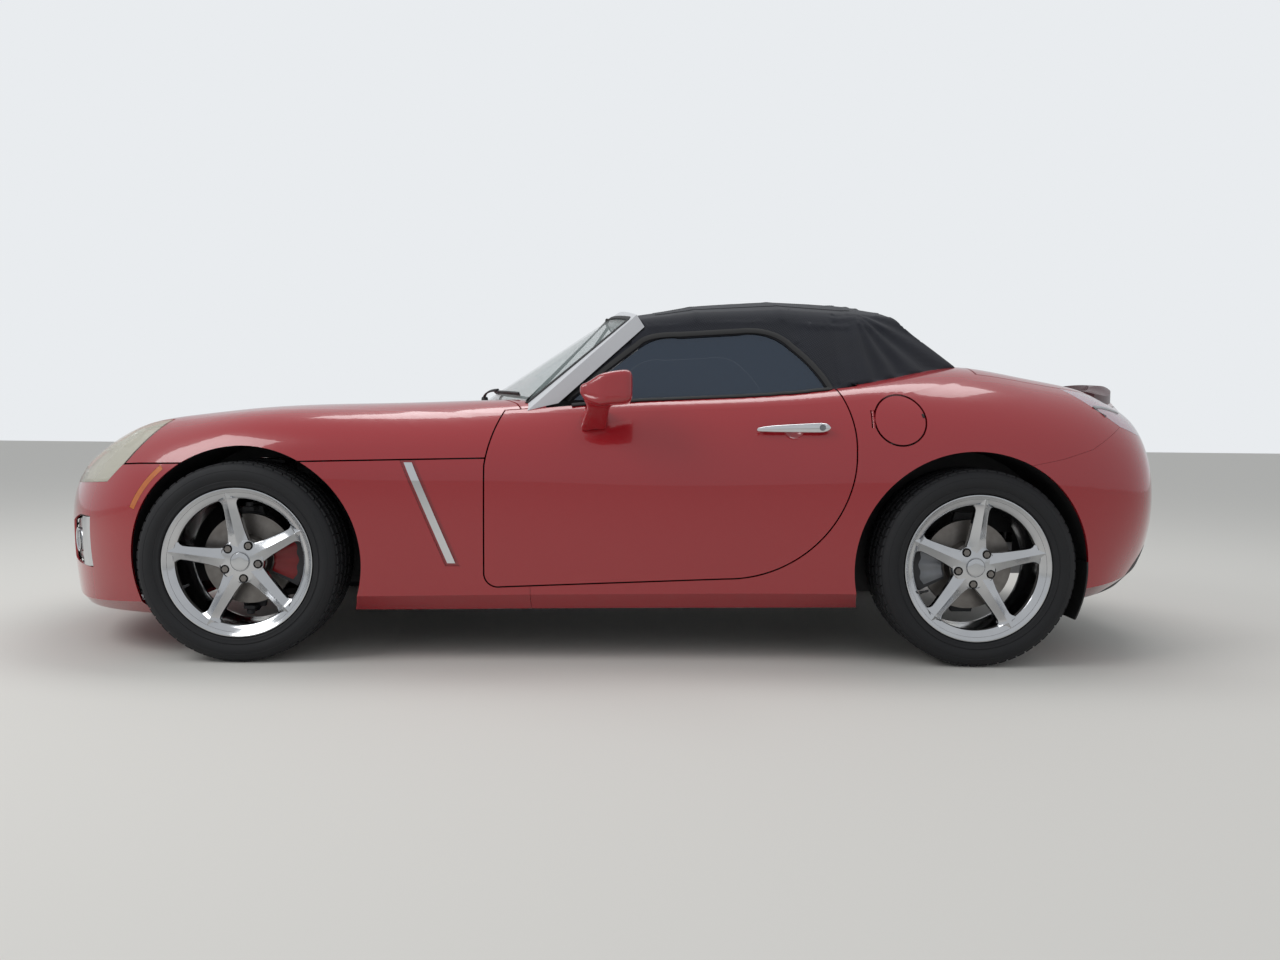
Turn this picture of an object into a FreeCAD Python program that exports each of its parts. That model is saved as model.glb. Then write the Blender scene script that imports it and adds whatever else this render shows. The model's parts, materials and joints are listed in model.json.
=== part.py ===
"""Two-seat convertible car with its soft top up, as an assembly of separate pieces, in millimetres.

The nose points to -X, the car's right side to +Y, up is +Z. The origin is on the ground, at the middle
of the car's length and width. The body skin is one lofted envelope. Each panel is the part of a shell
under that envelope which lies inside the panel's own outline, so that neighbours always line up.
"""
import FreeCAD
import Part
import math
import os

V = FreeCAD.Vector
os.makedirs("parts", exist_ok=True)

# Driving dimensions of the car
OVERALL_LENGTH = 4091.0
WHEELBASE = 2415.0
FRONT_OVERHANG = 845.0
BODY_WIDTH = 1813.0
ROOF_HEIGHT = 1274.0
TRACK_FRONT = 1543.0
TRACK_REAR = 1560.0
TYRE_RADIUS = 328.0
TYRE_WIDTH = 242.0
RIM_FLANGE_RADIUS = 244.0
RIM_WIDTH = 222.0
STEER_LIMIT = 33.0

# Thicknesses and clearances
SKIN = 12.0            # outer panels
SEAT_GAP = 0.3         # a piece lies this far from the curved piece that carries it
FIXED_GAP = 0.8        # between two fixed panels
SHUT_GAP = 5.0         # round a panel that opens
PIN_PLAY = 0.3         # hinge pin in its knuckle

# Landmarks along the car
NOSE = -OVERALL_LENGTH / 2
TAIL = OVERALL_LENGTH / 2
FRONT_AXLE = NOSE + FRONT_OVERHANG
REAR_AXLE = FRONT_AXLE + WHEELBASE
HUB_Z = TYRE_RADIUS
HALF_W = BODY_WIDTH / 2

# Body envelope. Each row is one cross-section of the skin at x, with half widths y and heights z of
# its corners: b the floor's edge, l the sill's lower edge, w the widest point, s the shoulder,
# c the crease on top; t is the height on the centre line.
#  x                   zb   yb   zl   yl   zw   yw   zs   ys   zc   yc   zt
BODY_SECTIONS = [
    (NOSE,             320, 110, 338, 140, 440, 165, 506, 140, 521,  95, 523),
    (NOSE + 35,        215, 250, 240, 285, 435, 318, 552, 262, 571, 175, 576),
    (NOSE + 115,       160, 400, 190, 440, 430, 478, 592, 400, 610, 260, 616),
    (NOSE + 245,       138, 590, 172, 640, 440, 672, 652, 562, 660, 350, 670),
    (FRONT_AXLE - 420, 132, 690, 180, 765, 480, 806, 742, 655, 722, 420, 734),
    (FRONT_AXLE - 215, 140, 770, 195, 848, 540, 870, 790, 692, 778, 440, 780),
    (FRONT_AXLE,       155, 790, 210, 872, 590, 892, 820, 705, 824, 450, 816),
    (FRONT_AXLE + 400, 162, 790, 218, 860, 600, 880, 827, 716, 848, 470, 852),
    (FRONT_AXLE + 850, 168, 790, 224, 848, 600, 864, 822, 748, 868, 560, 882),
    (FRONT_AXLE + 1350, 174, 790, 230, 846, 590, 860, 834, 782, 866, 650, 880),
    (REAR_AXLE - 560,  178, 790, 236, 856, 600, 873, 862, 790, 896, 650, 904),
    (REAR_AXLE - 215,  182, 790, 240, 884, 610, 899, 905, 780, 962, 590, 952),
    (REAR_AXLE,        186, 790, 245, 892, 612, HALF_W, 946, 718, 1000, 420, 960),
    (REAR_AXLE + 266,  192, 770, 252, 878, 605, 894, 921, 700, 958, 392, 950),
    (REAR_AXLE + 466,  212, 700, 272, 815, 585, 848, 886, 662, 928, 380, 938),
    (REAR_AXLE + 626,  238, 560, 300, 660, 555, 750, 850, 522, 926, 330, 936),
    (TAIL - 85,        285, 340, 345, 465, 535, 530, 770, 412, 885, 210, 905),
    (TAIL - 25,        370, 250, 405, 345, 535, 400, 715, 322, 828, 165, 846),
    (TAIL,             440, 140, 462, 190, 540, 240, 680, 190, 758, 100, 770),
]


def chord_arc(a, heading, b):
    """The arc from a to b, points (y, z), that leaves a along heading. Gives its middle and last heading."""
    cy, cz = b[0] - a[0], b[1] - a[1]
    chord = math.hypot(cy, cz)
    turn = math.atan2(cz, cy) - math.atan2(heading[1], heading[0])
    turn = (turn + math.pi) % (2 * math.pi) - math.pi
    rise = chord / 2 * math.tan(turn / 2)
    middle = ((a[0] + b[0]) / 2 + rise * cz / chord, (a[1] + b[1]) / 2 - rise * cy / chord)
    out = math.atan2(cz, cy) + turn
    return middle, (math.cos(out), math.sin(out))


def body_section(row, inset):
    """One closed cross-section wire of the body, moved inwards by inset."""
    x, zb, yb, zl, yl, zw, yw, zs, ys, zc, yc, zt = row
    if x == NOSE:
        x += inset
    if x == TAIL:
        x -= inset
    b = (yb - inset, zb + inset)
    low = (yl - inset, zl + inset * 0.45)
    w = (yw - inset, zw)
    s = (ys - inset * 0.7, zs - inset * 0.8)
    c = (yc, zc - inset)
    t = (0, zt - inset)
    flank, _ = chord_arc(w, (0, -1), low)
    shoulder, heading = chord_arc(w, (0, 1), s)
    topside, _ = chord_arc(s, heading, c)

    def at(p, side):
        return V(x, side * p[0], p[1])

    def arc(p, m, q, side):
        return Part.Arc(at(p, side), at(m, side), at(q, side)).toShape()

    edges = [Part.makeLine(at(b, -1), at(b, 1)), Part.makeLine(at(b, 1), at(low, 1)),
             arc(low, flank, w, 1), arc(w, shoulder, s, 1), arc(s, topside, c, 1),
             Part.Arc(at(c, 1), at(t, 1), at(c, -1)).toShape(),
             arc(c, topside, s, -1), arc(s, shoulder, w, -1), arc(w, flank, low, -1),
             Part.makeLine(at(low, -1), at(b, -1))]
    return Part.Wire(edges)


envelopes = {}


def body_envelope(inset):
    if inset not in envelopes:
        envelopes[inset] = Part.makeLoft([body_section(row, inset) for row in BODY_SECTIONS], True, False)
    return envelopes[inset]


def layer(depth, deeper, tool):
    """The part of tool that lies between two depths under the body's skin."""
    return tool.common(body_envelope(depth)).cut(body_envelope(deeper))


def skin_point(x, z, depth):
    """The point on the car's left side, depth under the skin, at x and z."""
    inside = Part.makeLine(V(x, -1000, z), V(x, 0, z)).common(body_envelope(depth))
    return V(x, min(vertex.Y for vertex in inside.Vertexes), z)


def skin_height(x, y, depth):
    """The height of the point on the car's top side, depth under the skin, at x and y."""
    return Part.makeLine(V(x, y, 500), V(x, y, 1200)).common(body_envelope(depth)).BoundBox.ZMax


def outline(steps, plane, level, growth=0.0):
    """A flat face through steps. A step (u, v) is a line there, (mu, mv, u, v) an arc through (mu, mv)."""
    def at(u, v):
        return V(u, level, v) if plane == "side" else V(u, v, level)

    edges = []
    here = steps[0][-2:]
    for step in steps[1:] + steps[:1]:
        there = step[-2:]
        if len(step) == 4:
            edges.append(Part.Arc(at(*here), at(*step[:2]), at(*there)).toShape())
        elif math.dist(here, there) > 1e-6:
            edges.append(Part.makeLine(at(*here), at(*there)))
        here = there
    face = Part.Face(Part.Wire(edges))
    return face.makeOffset2D(growth, 2, False, False, False) if growth else face


def side_prism(steps, y0, y1, growth=0.0):
    return outline(steps, "side", y0, growth).extrude(V(0, y1 - y0, 0))


def plan_prism(steps, z0, z1, growth=0.0):
    return outline(steps, "plan", z0, growth).extrude(V(0, 0, z1 - z0))


def box(x0, x1, y0, y1, z0, z1):
    return Part.makeBox(x1 - x0, y1 - y0, z1 - z0, V(x0, y0, z0))


def rod(a, b, radius):
    a, b = V(*a), V(*b)
    return Part.makeCylinder(radius, (b - a).Length, a, b - a)


def drum(x, y0, y1, z, radius):
    """A cylinder along Y."""
    return Part.makeCylinder(radius, y1 - y0, V(x, y0, z), V(0, 1, 0))


def mirrored(shape):
    return shape.mirror(V(0, 0, 0), V(0, 1, 0))


def both_sides(shape):
    return Part.makeCompound([shape, mirrored(shape)])


def fuse(first, *rest):
    return first.fuse(list(rest)).removeSplitter()


def solids(shape):
    """Only the solids of a boolean result, as one compound."""
    found = shape.Solids
    return found[0] if len(found) == 1 else Part.makeCompound(found)


def save(name, shape):
    shape = solids(shape)
    for solid in shape.Solids:
        if not solid.isValid():
            print("not valid:", name)
    shape.exportStep("parts/" + name + ".step")
    print(name, len(shape.Solids), "solids", round(shape.Volume / 1000), "cm3")


# Outlines of the panels, in side view (x, z) or from above (x, y)
DOOR_FRONT = FRONT_AXLE + 795.5
DOOR_REAR = REAR_AXLE - 406.5
DOOR_INNER_Y = 735.0           # the door's trim face, from the centre line
SILL_Y = 725.0                 # outer face of the inner sill
COCKPIT_REAR = REAR_AXLE - 376.5
DOOR_OUTLINE = [
    (DOOR_FRONT, 300), (DOOR_FRONT, 650),
    (DOOR_FRONT + 20, 742, DOOR_FRONT + 65, 850), (DOOR_FRONT + 105, 965),
    (DOOR_REAR - 82, 965), (DOOR_REAR - 53, 925), (DOOR_REAR - 11, 822, DOOR_REAR, 700),
    (DOOR_REAR - 122, 407, DOOR_REAR - 415, 285), (DOOR_FRONT + 51, 253),
    (DOOR_FRONT + 12, 266, DOOR_FRONT, 300)]

HOOD_SIDE = [
    (NOSE - 60, 592), (NOSE + 85, 592), (NOSE + 265, 632), (FRONT_AXLE - 346, 646),
    (DOOR_FRONT + 30, 677), (DOOR_FRONT + 130, 677), (DOOR_FRONT + 130, 1000), (NOSE - 60, 1000)]
WINDSCREEN_FOOT = -545.0       # hood's rear edge on the centre line
HOOD_REAR_CORNER = -300.0
HOOD_PLAN = [
    (NOSE - 60, -950), (HOOD_REAR_CORNER, -950), (HOOD_REAR_CORNER, -735), (HOOD_REAR_CORNER - 20, -690),
    (WINDSCREEN_FOOT, 0, HOOD_REAR_CORNER - 20, 690), (HOOD_REAR_CORNER, 735), (HOOD_REAR_CORNER, 950),
    (NOSE - 60, 950)]
LAMP_SIDE = [
    (NOSE + 112, 560), (FRONT_AXLE - 472, 580), (FRONT_AXLE - 412, 640), (FRONT_AXLE - 294, 792),
    (FRONT_AXLE - 294, 900), (NOSE + 112, 900)]
LAMP_PLAN = [(NOSE + 138, -415), (FRONT_AXLE - 280, -655), (FRONT_AXLE - 280, -950), (NOSE + 138, -950)]
LID_PLAN = [
    (1273, -648), (1500, -648), (1655, -605, 1760, -520), (1930, -285, 1985, 0),
    (1930, 285, 1760, 520), (1655, 605, 1500, 648), (1273, 648), (1273, 430), (1135, 430),
    (1135, -430), (1273, -430)]
TAIL_LAMP_SIDE = [
    (1565, 930), (1670, 848), (1741, 798), (1835, 768), (2100, 760), (2100, 1000), (1565, 1000)]
TAIL_LAMP_PLAN = [
    (1560, -630), (1650, -610), (1770, -518), (1905, -325), (2100, -325), (2100, -950), (1560, -950)]
BUMPER_SPLIT = [(REAR_AXLE - 15, 655), (REAR_AXLE + 165, 668), (REAR_AXLE + 275, 690),
                (REAR_AXLE + 385, 722), (REAR_AXLE + 530, 800), (REAR_AXLE + 560, 1100)]

FRONT_ARCH = (FRONT_AXLE + 14, 325.0, 382.0)
REAR_ARCH = (REAR_AXLE - 15, 322.0, 390.0)
HOOD_AXIS = (NOSE + 55, 580.0)
DOOR_AXIS = (DOOR_FRONT + 40, 850.0)

# Body envelope at several depths
skin_outer = body_envelope(0.0)
skin_inner = body_envelope(SKIN)
under_skin = body_envelope(SKIN + SEAT_GAP)
shell = skin_outer.cut(skin_inner)
for arch_x, arch_z, arch_radius in (FRONT_ARCH, REAR_ARCH):
    shell = shell.cut(drum(arch_x, -1100, 1100, arch_z, arch_radius))

hood_region = side_prism(HOOD_SIDE, -1000, 1000).common(plan_prism(HOOD_PLAN, 400, 1100))
hood_clear = side_prism(HOOD_SIDE, -1000, 1000, SHUT_GAP).common(plan_prism(HOOD_PLAN, 400, 1100, SHUT_GAP))
door_clear = both_sides(side_prism(DOOR_OUTLINE, -1000, -DOOR_INNER_Y + SHUT_GAP, SHUT_GAP))
door_line = both_sides(side_prism(DOOR_OUTLINE, -1000, -DOOR_INNER_Y))


def corner_tool(side, plan, growth):
    tool = side_prism(side, -1000, -100, growth).common(plan_prism(plan, 400, 1100, growth))
    return both_sides(tool)


lamp_clear = corner_tool(LAMP_SIDE, LAMP_PLAN, SHUT_GAP + 1)
lamp_seat = corner_tool(LAMP_SIDE, LAMP_PLAN, FIXED_GAP)
lamp_space = corner_tool(LAMP_SIDE, LAMP_PLAN, 0)
tail_lamp_seat = corner_tool(TAIL_LAMP_SIDE, TAIL_LAMP_PLAN, FIXED_GAP)
tail_lamp_space = corner_tool(TAIL_LAMP_SIDE, TAIL_LAMP_PLAN, 0)
lid_region = plan_prism(LID_PLAN, 800, 1100)
lid_clear = plan_prism(LID_PLAN, 800, 1100, SHUT_GAP)

# Hood: a clamshell with the tops of the fenders, hinged at the nose
HOOD_HINGE_Y = 90.0
hood = shell.common(hood_region).cut(lamp_clear).cut(door_clear)
lug = box(HOOD_AXIS[0] - 6, HOOD_AXIS[0] + 34, -HOOD_HINGE_Y - 10, -HOOD_HINGE_Y + 10,
          HOOD_AXIS[1] - 7, HOOD_AXIS[1] + 20).common(body_envelope(1.0))
lug = lug.cut(drum(HOOD_AXIS[0], -HOOD_HINGE_Y - 20, -HOOD_HINGE_Y + 20, HOOD_AXIS[1], 3 + PIN_PLAY))
save("hood", hood.fuse([lug, mirrored(lug)]))
hood_pocket = both_sides(box(HOOD_AXIS[0] - 14, HOOD_AXIS[0] + 44, -HOOD_HINGE_Y - 15, -HOOD_HINGE_Y + 15,
                             HOOD_AXIS[1] - 16, HOOD_AXIS[1] + 30))

# Front bumper cover
front_region = side_prism([(NOSE - 60, 60), (FRONT_ARCH[0], 60), (FRONT_ARCH[0], 700), (NOSE - 60, 700)], -1000, 1000)
front_cover = shell.common(front_region).cut(hood_clear).cut(lamp_seat).cut(hood_pocket)

# Side markers ahead of the front arches, and the air intake with its grille
arch_x, arch_z, arch_radius = FRONT_ARCH
MARKER_BAND = (18.0, 36.0)
marker_reach = [(arch_x - 600, arch_z + 600 * math.tan(math.radians(25))), (arch_x, arch_z),
                (arch_x - 600 * math.cos(math.radians(49)), arch_z + 600 * math.sin(math.radians(49)))]


def marker_band(gap):
    ring = drum(arch_x, -1000, -600, arch_z, arch_radius + MARKER_BAND[1] + gap)
    ring = ring.cut(drum(arch_x, -1010, -590, arch_z, arch_radius + MARKER_BAND[0] - gap))
    return ring.common(side_prism(marker_reach, -1000, -600, gap))


save("side_markers", both_sides(shell.common(marker_band(0.0))))
front_cover = front_cover.cut(both_sides(marker_band(FIXED_GAP)))
FOG_MOUTH = [(-520, 300), (-660, 288), (-714, 286), (-722, 460), (-660, 462), (-540, 430)]
FOG_TRIM = [(-672, 290), (-702, 289), (-709, 457), (-684, 458)]
FOG_CENTRE = (-600.0, 368.0)
FOG_RADIUS = 42.0
INTAKE = [(-300, 232), (300, 232), (345, 300), (300, 418), (-300, 418), (-345, 300)]


def front_prism(steps, x0, x1, growth=0.0):
    """A prism along X over a polygon (y, z)."""
    wire = Part.makePolygon([V(x0, y, z) for y, z in steps + steps[:1]])
    face = Part.Face(wire)
    if growth:
        face = face.makeOffset2D(growth, 2, False, False, False)
    return face.extrude(V(x1 - x0, 0, 0))


front_cover = front_cover.cut(front_prism(INTAKE, NOSE - 60, NOSE + 220))
hood_pin = drum(HOOD_AXIS[0], -HOOD_HINGE_Y - 19, -HOOD_HINGE_Y + 19, HOOD_AXIS[1], 3)
front_cover = front_cover.cut(both_sides(front_prism(FOG_MOUTH, NOSE + 60, NOSE + 420)))
save("front_bumper", front_cover.fuse([hood_pin, mirrored(hood_pin)]))

# Fog lamps set back in their mouths, and the bright trim on each mouth's outer edge
fog_room = front_prism(FOG_MOUTH, NOSE + 60, NOSE + 420, -SEAT_GAP)
fog_back = layer(26.0, 34.0, fog_room)
fog_glass = Part.makeCylinder(FOG_RADIUS, 200, V(NOSE + 160, FOG_CENTRE[0], FOG_CENTRE[1]), V(1, 0, 0)).common(
    body_envelope(12.0)).cut(body_envelope(30.0))
save("fog_lamps", both_sides(fog_back.fuse(fog_glass)))
save("fog_trims", both_sides(layer(-3.0, 24.0, front_prism(FOG_TRIM, NOSE + 60, NOSE + 420))))
intake_space = front_prism(INTAKE, NOSE - 60, NOSE + 215, -SEAT_GAP)
bars = [front_prism(INTAKE, NOSE - 60, NOSE + 215).cut(front_prism(INTAKE, NOSE - 70, NOSE + 225, -12))]
for row in range(5):
    bars.append(box(NOSE - 60, NOSE + 215, -360, 360, 256 + 32 * row, 263 + 32 * row))
for column in range(-4, 5):
    bars.append(box(NOSE - 60, NOSE + 215, column * 72 - 4, column * 72 + 4, 232, 418))
save("grille", layer(5.0, 19.0, bars[0].fuse(bars[1:]).common(intake_space)))

# Front fenders behind the arches, with the foot under the door
FENDER_FOOT = DOOR_FRONT + 149
fender = shell.common(box(FRONT_ARCH[0], FENDER_FOOT - FIXED_GAP / 2, -1000, -SILL_Y - SEAT_GAP, 60, 720))
fender = fender.cut(hood_clear).cut(door_clear)
VENT = [(FRONT_AXLE + 535, 658), (FRONT_AXLE + 561, 658), (FRONT_AXLE + 701, 329), (FRONT_AXLE + 675, 329)]
VENT_POCKET = 7.0
vent_room = side_prism(VENT, -1000, -600, 10).cut(body_envelope(VENT_POCKET))
fender = fender.cut(vent_room)
save("front_fenders", both_sides(fender))
vent_bar = side_prism(VENT, -1000, -600).common(body_envelope(-2.0)).cut(body_envelope(VENT_POCKET - SEAT_GAP))
save("fender_vents", both_sides(vent_bar))

# Doors
print("doors")
CUP_CENTRE = (DOOR_REAR - 203, 782.0)
CUP_BALL = 42.0
CUP_DEPTH = 11.0
door_pad = side_prism(DOOR_OUTLINE, -1000, -DOOR_INNER_Y, -20)
door = shell.common(side_prism(DOOR_OUTLINE, -1000, -DOOR_INNER_Y)).fuse(skin_outer.common(door_pad))
HINGE_HEIGHTS = (450.0, 620.0)
hinge_x, hinge_y = DOOR_AXIS
for z in HINGE_HEIGHTS:
    pocket = box(DOOR_FRONT - 2, hinge_x + 22, -hinge_y + 2, -DOOR_INNER_Y + 1, z - 20, z + 20)
    eye_room = rod((hinge_x, -hinge_y, z - 20), (hinge_x, -hinge_y, z + 20), 17).common(body_envelope(3.0))
    pin_hole = rod((hinge_x, -hinge_y, z - 27), (hinge_x, -hinge_y, z + 27), 3 + PIN_PLAY)
    door = door.cut(pocket).cut(eye_room).cut(pin_hole)
cup_skin = skin_point(CUP_CENTRE[0], CUP_CENTRE[1], 0.0)
door = door.cut(Part.makeSphere(CUP_BALL, cup_skin + V(0, -CUP_BALL + CUP_DEPTH, 0)))
save("door_left", door)
save("door_right", mirrored(door))

# Rear body: sills, quarters and the panel round the deck, in one piece
print("rear body")
quarter_side = [(FENDER_FOOT + FIXED_GAP / 2, 60), (REAR_AXLE - 15, 60)] + BUMPER_SPLIT + [
    (FENDER_FOOT + FIXED_GAP / 2, 1100)]
quarters = shell.common(side_prism(quarter_side, -1000, 1000, -FIXED_GAP / 2)).cut(door_clear)
quarters = quarters.cut(box(FENDER_FOOT - 50, TAIL, -SILL_Y - SEAT_GAP, SILL_Y + SEAT_GAP, 0, 500))
quarters = quarters.cut(box(FENDER_FOOT - 50, COCKPIT_REAR, -DOOR_INNER_Y, DOOR_INNER_Y, 400, 1100))
quarters = quarters.cut(lid_clear).cut(tail_lamp_seat)
FLAP_CENTRE = (REAR_AXLE - 257.5, 812.0)
FLAP_RADIUS = 82.0
flap_hole = drum(FLAP_CENTRE[0], -1000, -600, FLAP_CENTRE[1], FLAP_RADIUS + SHUT_GAP)
flap = shell.common(drum(FLAP_CENTRE[0], -1000, -600, FLAP_CENTRE[1], FLAP_RADIUS - 1))
flap_edge = FLAP_CENTRE[0] - FLAP_RADIUS - 4
above, below = skin_point(flap_edge, FLAP_CENTRE[1] + 20, 6.5), skin_point(flap_edge, FLAP_CENTRE[1] - 20, 6.5)
flap_axis = (above - below).normalize()
flap_hinge = (above + below) * 0.5
print("flap axis", [round(v, 4) for v in flap_axis], "through", [round(v, 2) for v in flap_hinge])


def on_flap_axis(start, end, radius):
    return Part.makeCylinder(radius, end - start, flap_hinge + flap_axis * start, flap_axis)


knuckle_eye = on_flap_axis(-10, 10, 5)
knuckle_arm = Part.makeBox(12, 5, 18, V(0, -2.5, -9))
knuckle_arm.Placement = FreeCAD.Placement(flap_hinge, FreeCAD.Rotation(V(0, 0, 1), flap_axis))
flap = flap.cut(on_flap_axis(11, 25, 7)).cut(on_flap_axis(-25, -11, 7))
flap = flap.fuse([knuckle_eye, knuckle_arm]).cut(on_flap_axis(-20, 20, 2.5 + PIN_PLAY))
save("fuel_flap", flap)
CUP_FLOOR_Y = 766.0
cup = drum(FLAP_CENTRE[0], -900, -CUP_FLOOR_Y + 3, FLAP_CENTRE[1], FLAP_RADIUS + 25).cut(
    drum(FLAP_CENTRE[0], -910, -CUP_FLOOR_Y, FLAP_CENTRE[1], FLAP_RADIUS + 22)).common(body_envelope(SKIN - 3))
filler_cap = drum(FLAP_CENTRE[0], -CUP_FLOOR_Y - 32, -CUP_FLOOR_Y + 1, FLAP_CENTRE[1] - 10, 33)
quarters = quarters.cut(flap_hole).fuse(cup.fuse(filler_cap)).cut(on_flap_axis(-33, 33, 11))
quarters = quarters.fuse([on_flap_axis(-38, 38, 2.5), on_flap_axis(12, 38, 5), on_flap_axis(-38, -12, 5)])
save("rear_body", quarters)

# Rear bumper cover, with the pockets and pins of the lid's hinges
LID_HINGE_Y = 90.0
LID_AXIS = (TAIL - 50.5, skin_height(TAIL - 50.5, LID_HINGE_Y, 6.5))
print("lid axis", [round(v, 2) for v in LID_AXIS])
LIP_FRONT = REAR_AXLE + 475.5
LIP_TILT = 10.0
bumper_side = BUMPER_SPLIT + [(TAIL + 60, 1100), (TAIL + 60, 60), (REAR_AXLE - 15, 60)]
rear_cover = shell.common(side_prism(bumper_side, -1000, 1000, -FIXED_GAP / 2)).cut(lid_clear).cut(tail_lamp_seat)
rear_cover = rear_cover.cut(box(REAR_AXLE, TAIL - 260, -560, 560, 60, 320))
TAILPIPE_Y = 330.0
rear_cover = rear_cover.cut(box(REAR_AXLE, TAIL, TAILPIPE_Y - 45, TAILPIPE_Y + 45, 60, 285))
VALANCE = [(TAIL - 345, 60), (TAIL - 345, 214), (TAIL - 170, 385), (TAIL + 60, 385), (TAIL + 60, 60)]
save("rear_valance", rear_cover.common(side_prism(VALANCE, -1000, 1000, -FIXED_GAP / 2)))
rear_cover = rear_cover.cut(side_prism(VALANCE, -1000, 1000, FIXED_GAP / 2))
PLATE_SPOT = (540.0, 700.0)
rear_cover = rear_cover.cut(box(TAIL - 40, TAIL + 10, -160, 160, PLATE_SPOT[0], PLATE_SPOT[1]).cut(body_envelope(5.0)))
lid_pin = drum(LID_AXIS[0], -LID_HINGE_Y - 17, -LID_HINGE_Y + 17, LID_AXIS[1], 3)
lid_pocket = box(LID_AXIS[0] - 40, LID_AXIS[0] + 14, -LID_HINGE_Y - 13, -LID_HINGE_Y + 13, LID_AXIS[1] - 20, LID_AXIS[1] + 30)
lid_sweep = box(LID_AXIS[0] - 20, LID_AXIS[0] + 15, -160, 160, LID_AXIS[1] + 10, LID_AXIS[1] + 36)
rear_cover = rear_cover.cut(lid_sweep).cut(both_sides(lid_pocket)).fuse([lid_pin, mirrored(lid_pin)])
save("rear_bumper", rear_cover)

# Deck lid, hinged at the tail
lid = shell.common(lid_region)
lid_lug = box(LID_AXIS[0] - 34, LID_AXIS[0] + 7, -LID_HINGE_Y - 8, -LID_HINGE_Y + 8, LID_AXIS[1] - 7, LID_AXIS[1] + 30)
lid_lug = lid_lug.common(body_envelope(1.0)).cut(
    drum(LID_AXIS[0], -LID_HINGE_Y - 20, -LID_HINGE_Y + 20, LID_AXIS[1], 3 + PIN_PLAY))
save("deck_lid", lid.fuse([lid_lug, mirrored(lid_lug)]))

# Lip on the lid's rear edge: the skin tilted up about the lip's front corners, inside the lip's outline
raised = skin_outer.copy()
raised.rotate(V(LIP_FRONT, 0, 926), V(0, 1, 0), -LIP_TILT)
lip_plan = [(LIP_FRONT + 10, -505), (LIP_FRONT + 62, -512), (LIP_FRONT + 231, -283, LIP_FRONT + 286, 0),
            (LIP_FRONT + 231, 283, LIP_FRONT + 62, 512), (LIP_FRONT + 10, 505), (LIP_FRONT + 198, 0, LIP_FRONT + 10, -505)]
lip = plan_prism(lip_plan, 800, 1100).common(raised).cut(body_envelope(-SEAT_GAP))
save("rear_spoiler", max(lip.Solids, key=lambda solid: solid.Volume))

# Cowl between hood, doors and windscreen
COWL_REAR = -215.0
cowl_plan = [(HOOD_REAR_CORNER - 260, -DOOR_INNER_Y + SHUT_GAP), (COWL_REAR, -DOOR_INNER_Y + SHUT_GAP),
             (COWL_REAR - 20, -660), (WINDSCREEN_FOOT + 135, 0, COWL_REAR - 20, 660),
             (COWL_REAR, DOOR_INNER_Y - SHUT_GAP), (HOOD_REAR_CORNER - 260, DOOR_INNER_Y - SHUT_GAP)]
cowl = shell.common(plan_prism(cowl_plan, 700, 1000)).cut(hood_clear)
save("cowl", cowl)

# Lamps: clear covers flush with the skin over their housings
LENS = 5.0
save("headlamp_lenses", layer(0.0, LENS, lamp_space))
housing = corner_tool(LAMP_SIDE, LAMP_PLAN, -8).common(body_envelope(LENS + 14)).common(
    box(NOSE, FRONT_AXLE - 300, -900, 900, 572, 800))
save("headlamp_housings", housing)
save("tail_lamps", layer(0.0, 30.0, tail_lamp_space.cut(lid_clear)))

# Windscreen: a slab between a foot arc on the cowl and a header arc, its frame round the glass
FRAME_DEPTH = 50.0
GLASS = 6.0
LEAN = math.radians(33.8)
OUTWARD = V(-math.sin(LEAN), 0, math.cos(LEAN))


def windscreen_slab(foot, head, above, below):
    """The solid over a ruled face from the foot arc to the header arc; each arc is (x, y, z, middle x, middle z)."""
    arcs = []
    for x, y, z, middle_x, middle_z in (foot, head):
        arcs.append(Part.Arc(V(x, -y, z), V(middle_x, 0, middle_z), V(x, y, z)).toShape())
    face = Part.makeRuledSurface(arcs[0], arcs[1])
    face.translate(OUTWARD * above)
    return face.extrude(OUTWARD * -(above + below))


frame_slab = windscreen_slab((-290, 750, 818, -520, 865), (90, 585, 1172, 20, 1226), 0, FRAME_DEPTH)
glass_hole = windscreen_slab((-300, 688, 858, -500, 880), (72, 560, 1147, -22, 1200), 60, 120)
glass_room = windscreen_slab((-299.5, 687.5, 858.5, -499.5, 880.5), (71.5, 559.5, 1146.5, -22.5, 1199.5), 60, 120)
pane = windscreen_slab((-400, 770, 740, -630, 791), (120, 572, 1200, 50, 1246), -2, 2 + GLASS)
screen_frame = frame_slab.cut(glass_hole).cut(body_envelope(-SEAT_GAP))
save("windscreen_frame", max(screen_frame.Solids, key=lambda solid: solid.Volume))
windscreen = pane.common(glass_room).cut(body_envelope(-SEAT_GAP))
save("windscreen", windscreen)

# Soft top: one lofted tent with the roof, the side rails and the two rear buttresses
#  x      yb   zb   y1   z1   y2   z2    zt
TENT_SECTIONS = [
    (-300, 690, 780, 520, 1075, 470, 1140, 1176),
    (105,  765, 800, 590, 1118, 540, 1168, 1220),
    (520,  785, 820, 606, 1142, 548, 1202, ROOF_HEIGHT),
    (905,  765, 850, 585, 1130, 520, 1192, 1264),
    (1290, 620, 850, 455, 1120, 395, 1180, 1246),
]
CLOTH = 12.0
REAR_SLOPE_TOP = (905.0, 1262.0)
REAR_SLOPE_FOOT = (1262.0, 972.0)
NOTCH_Y = 425.0


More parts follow.
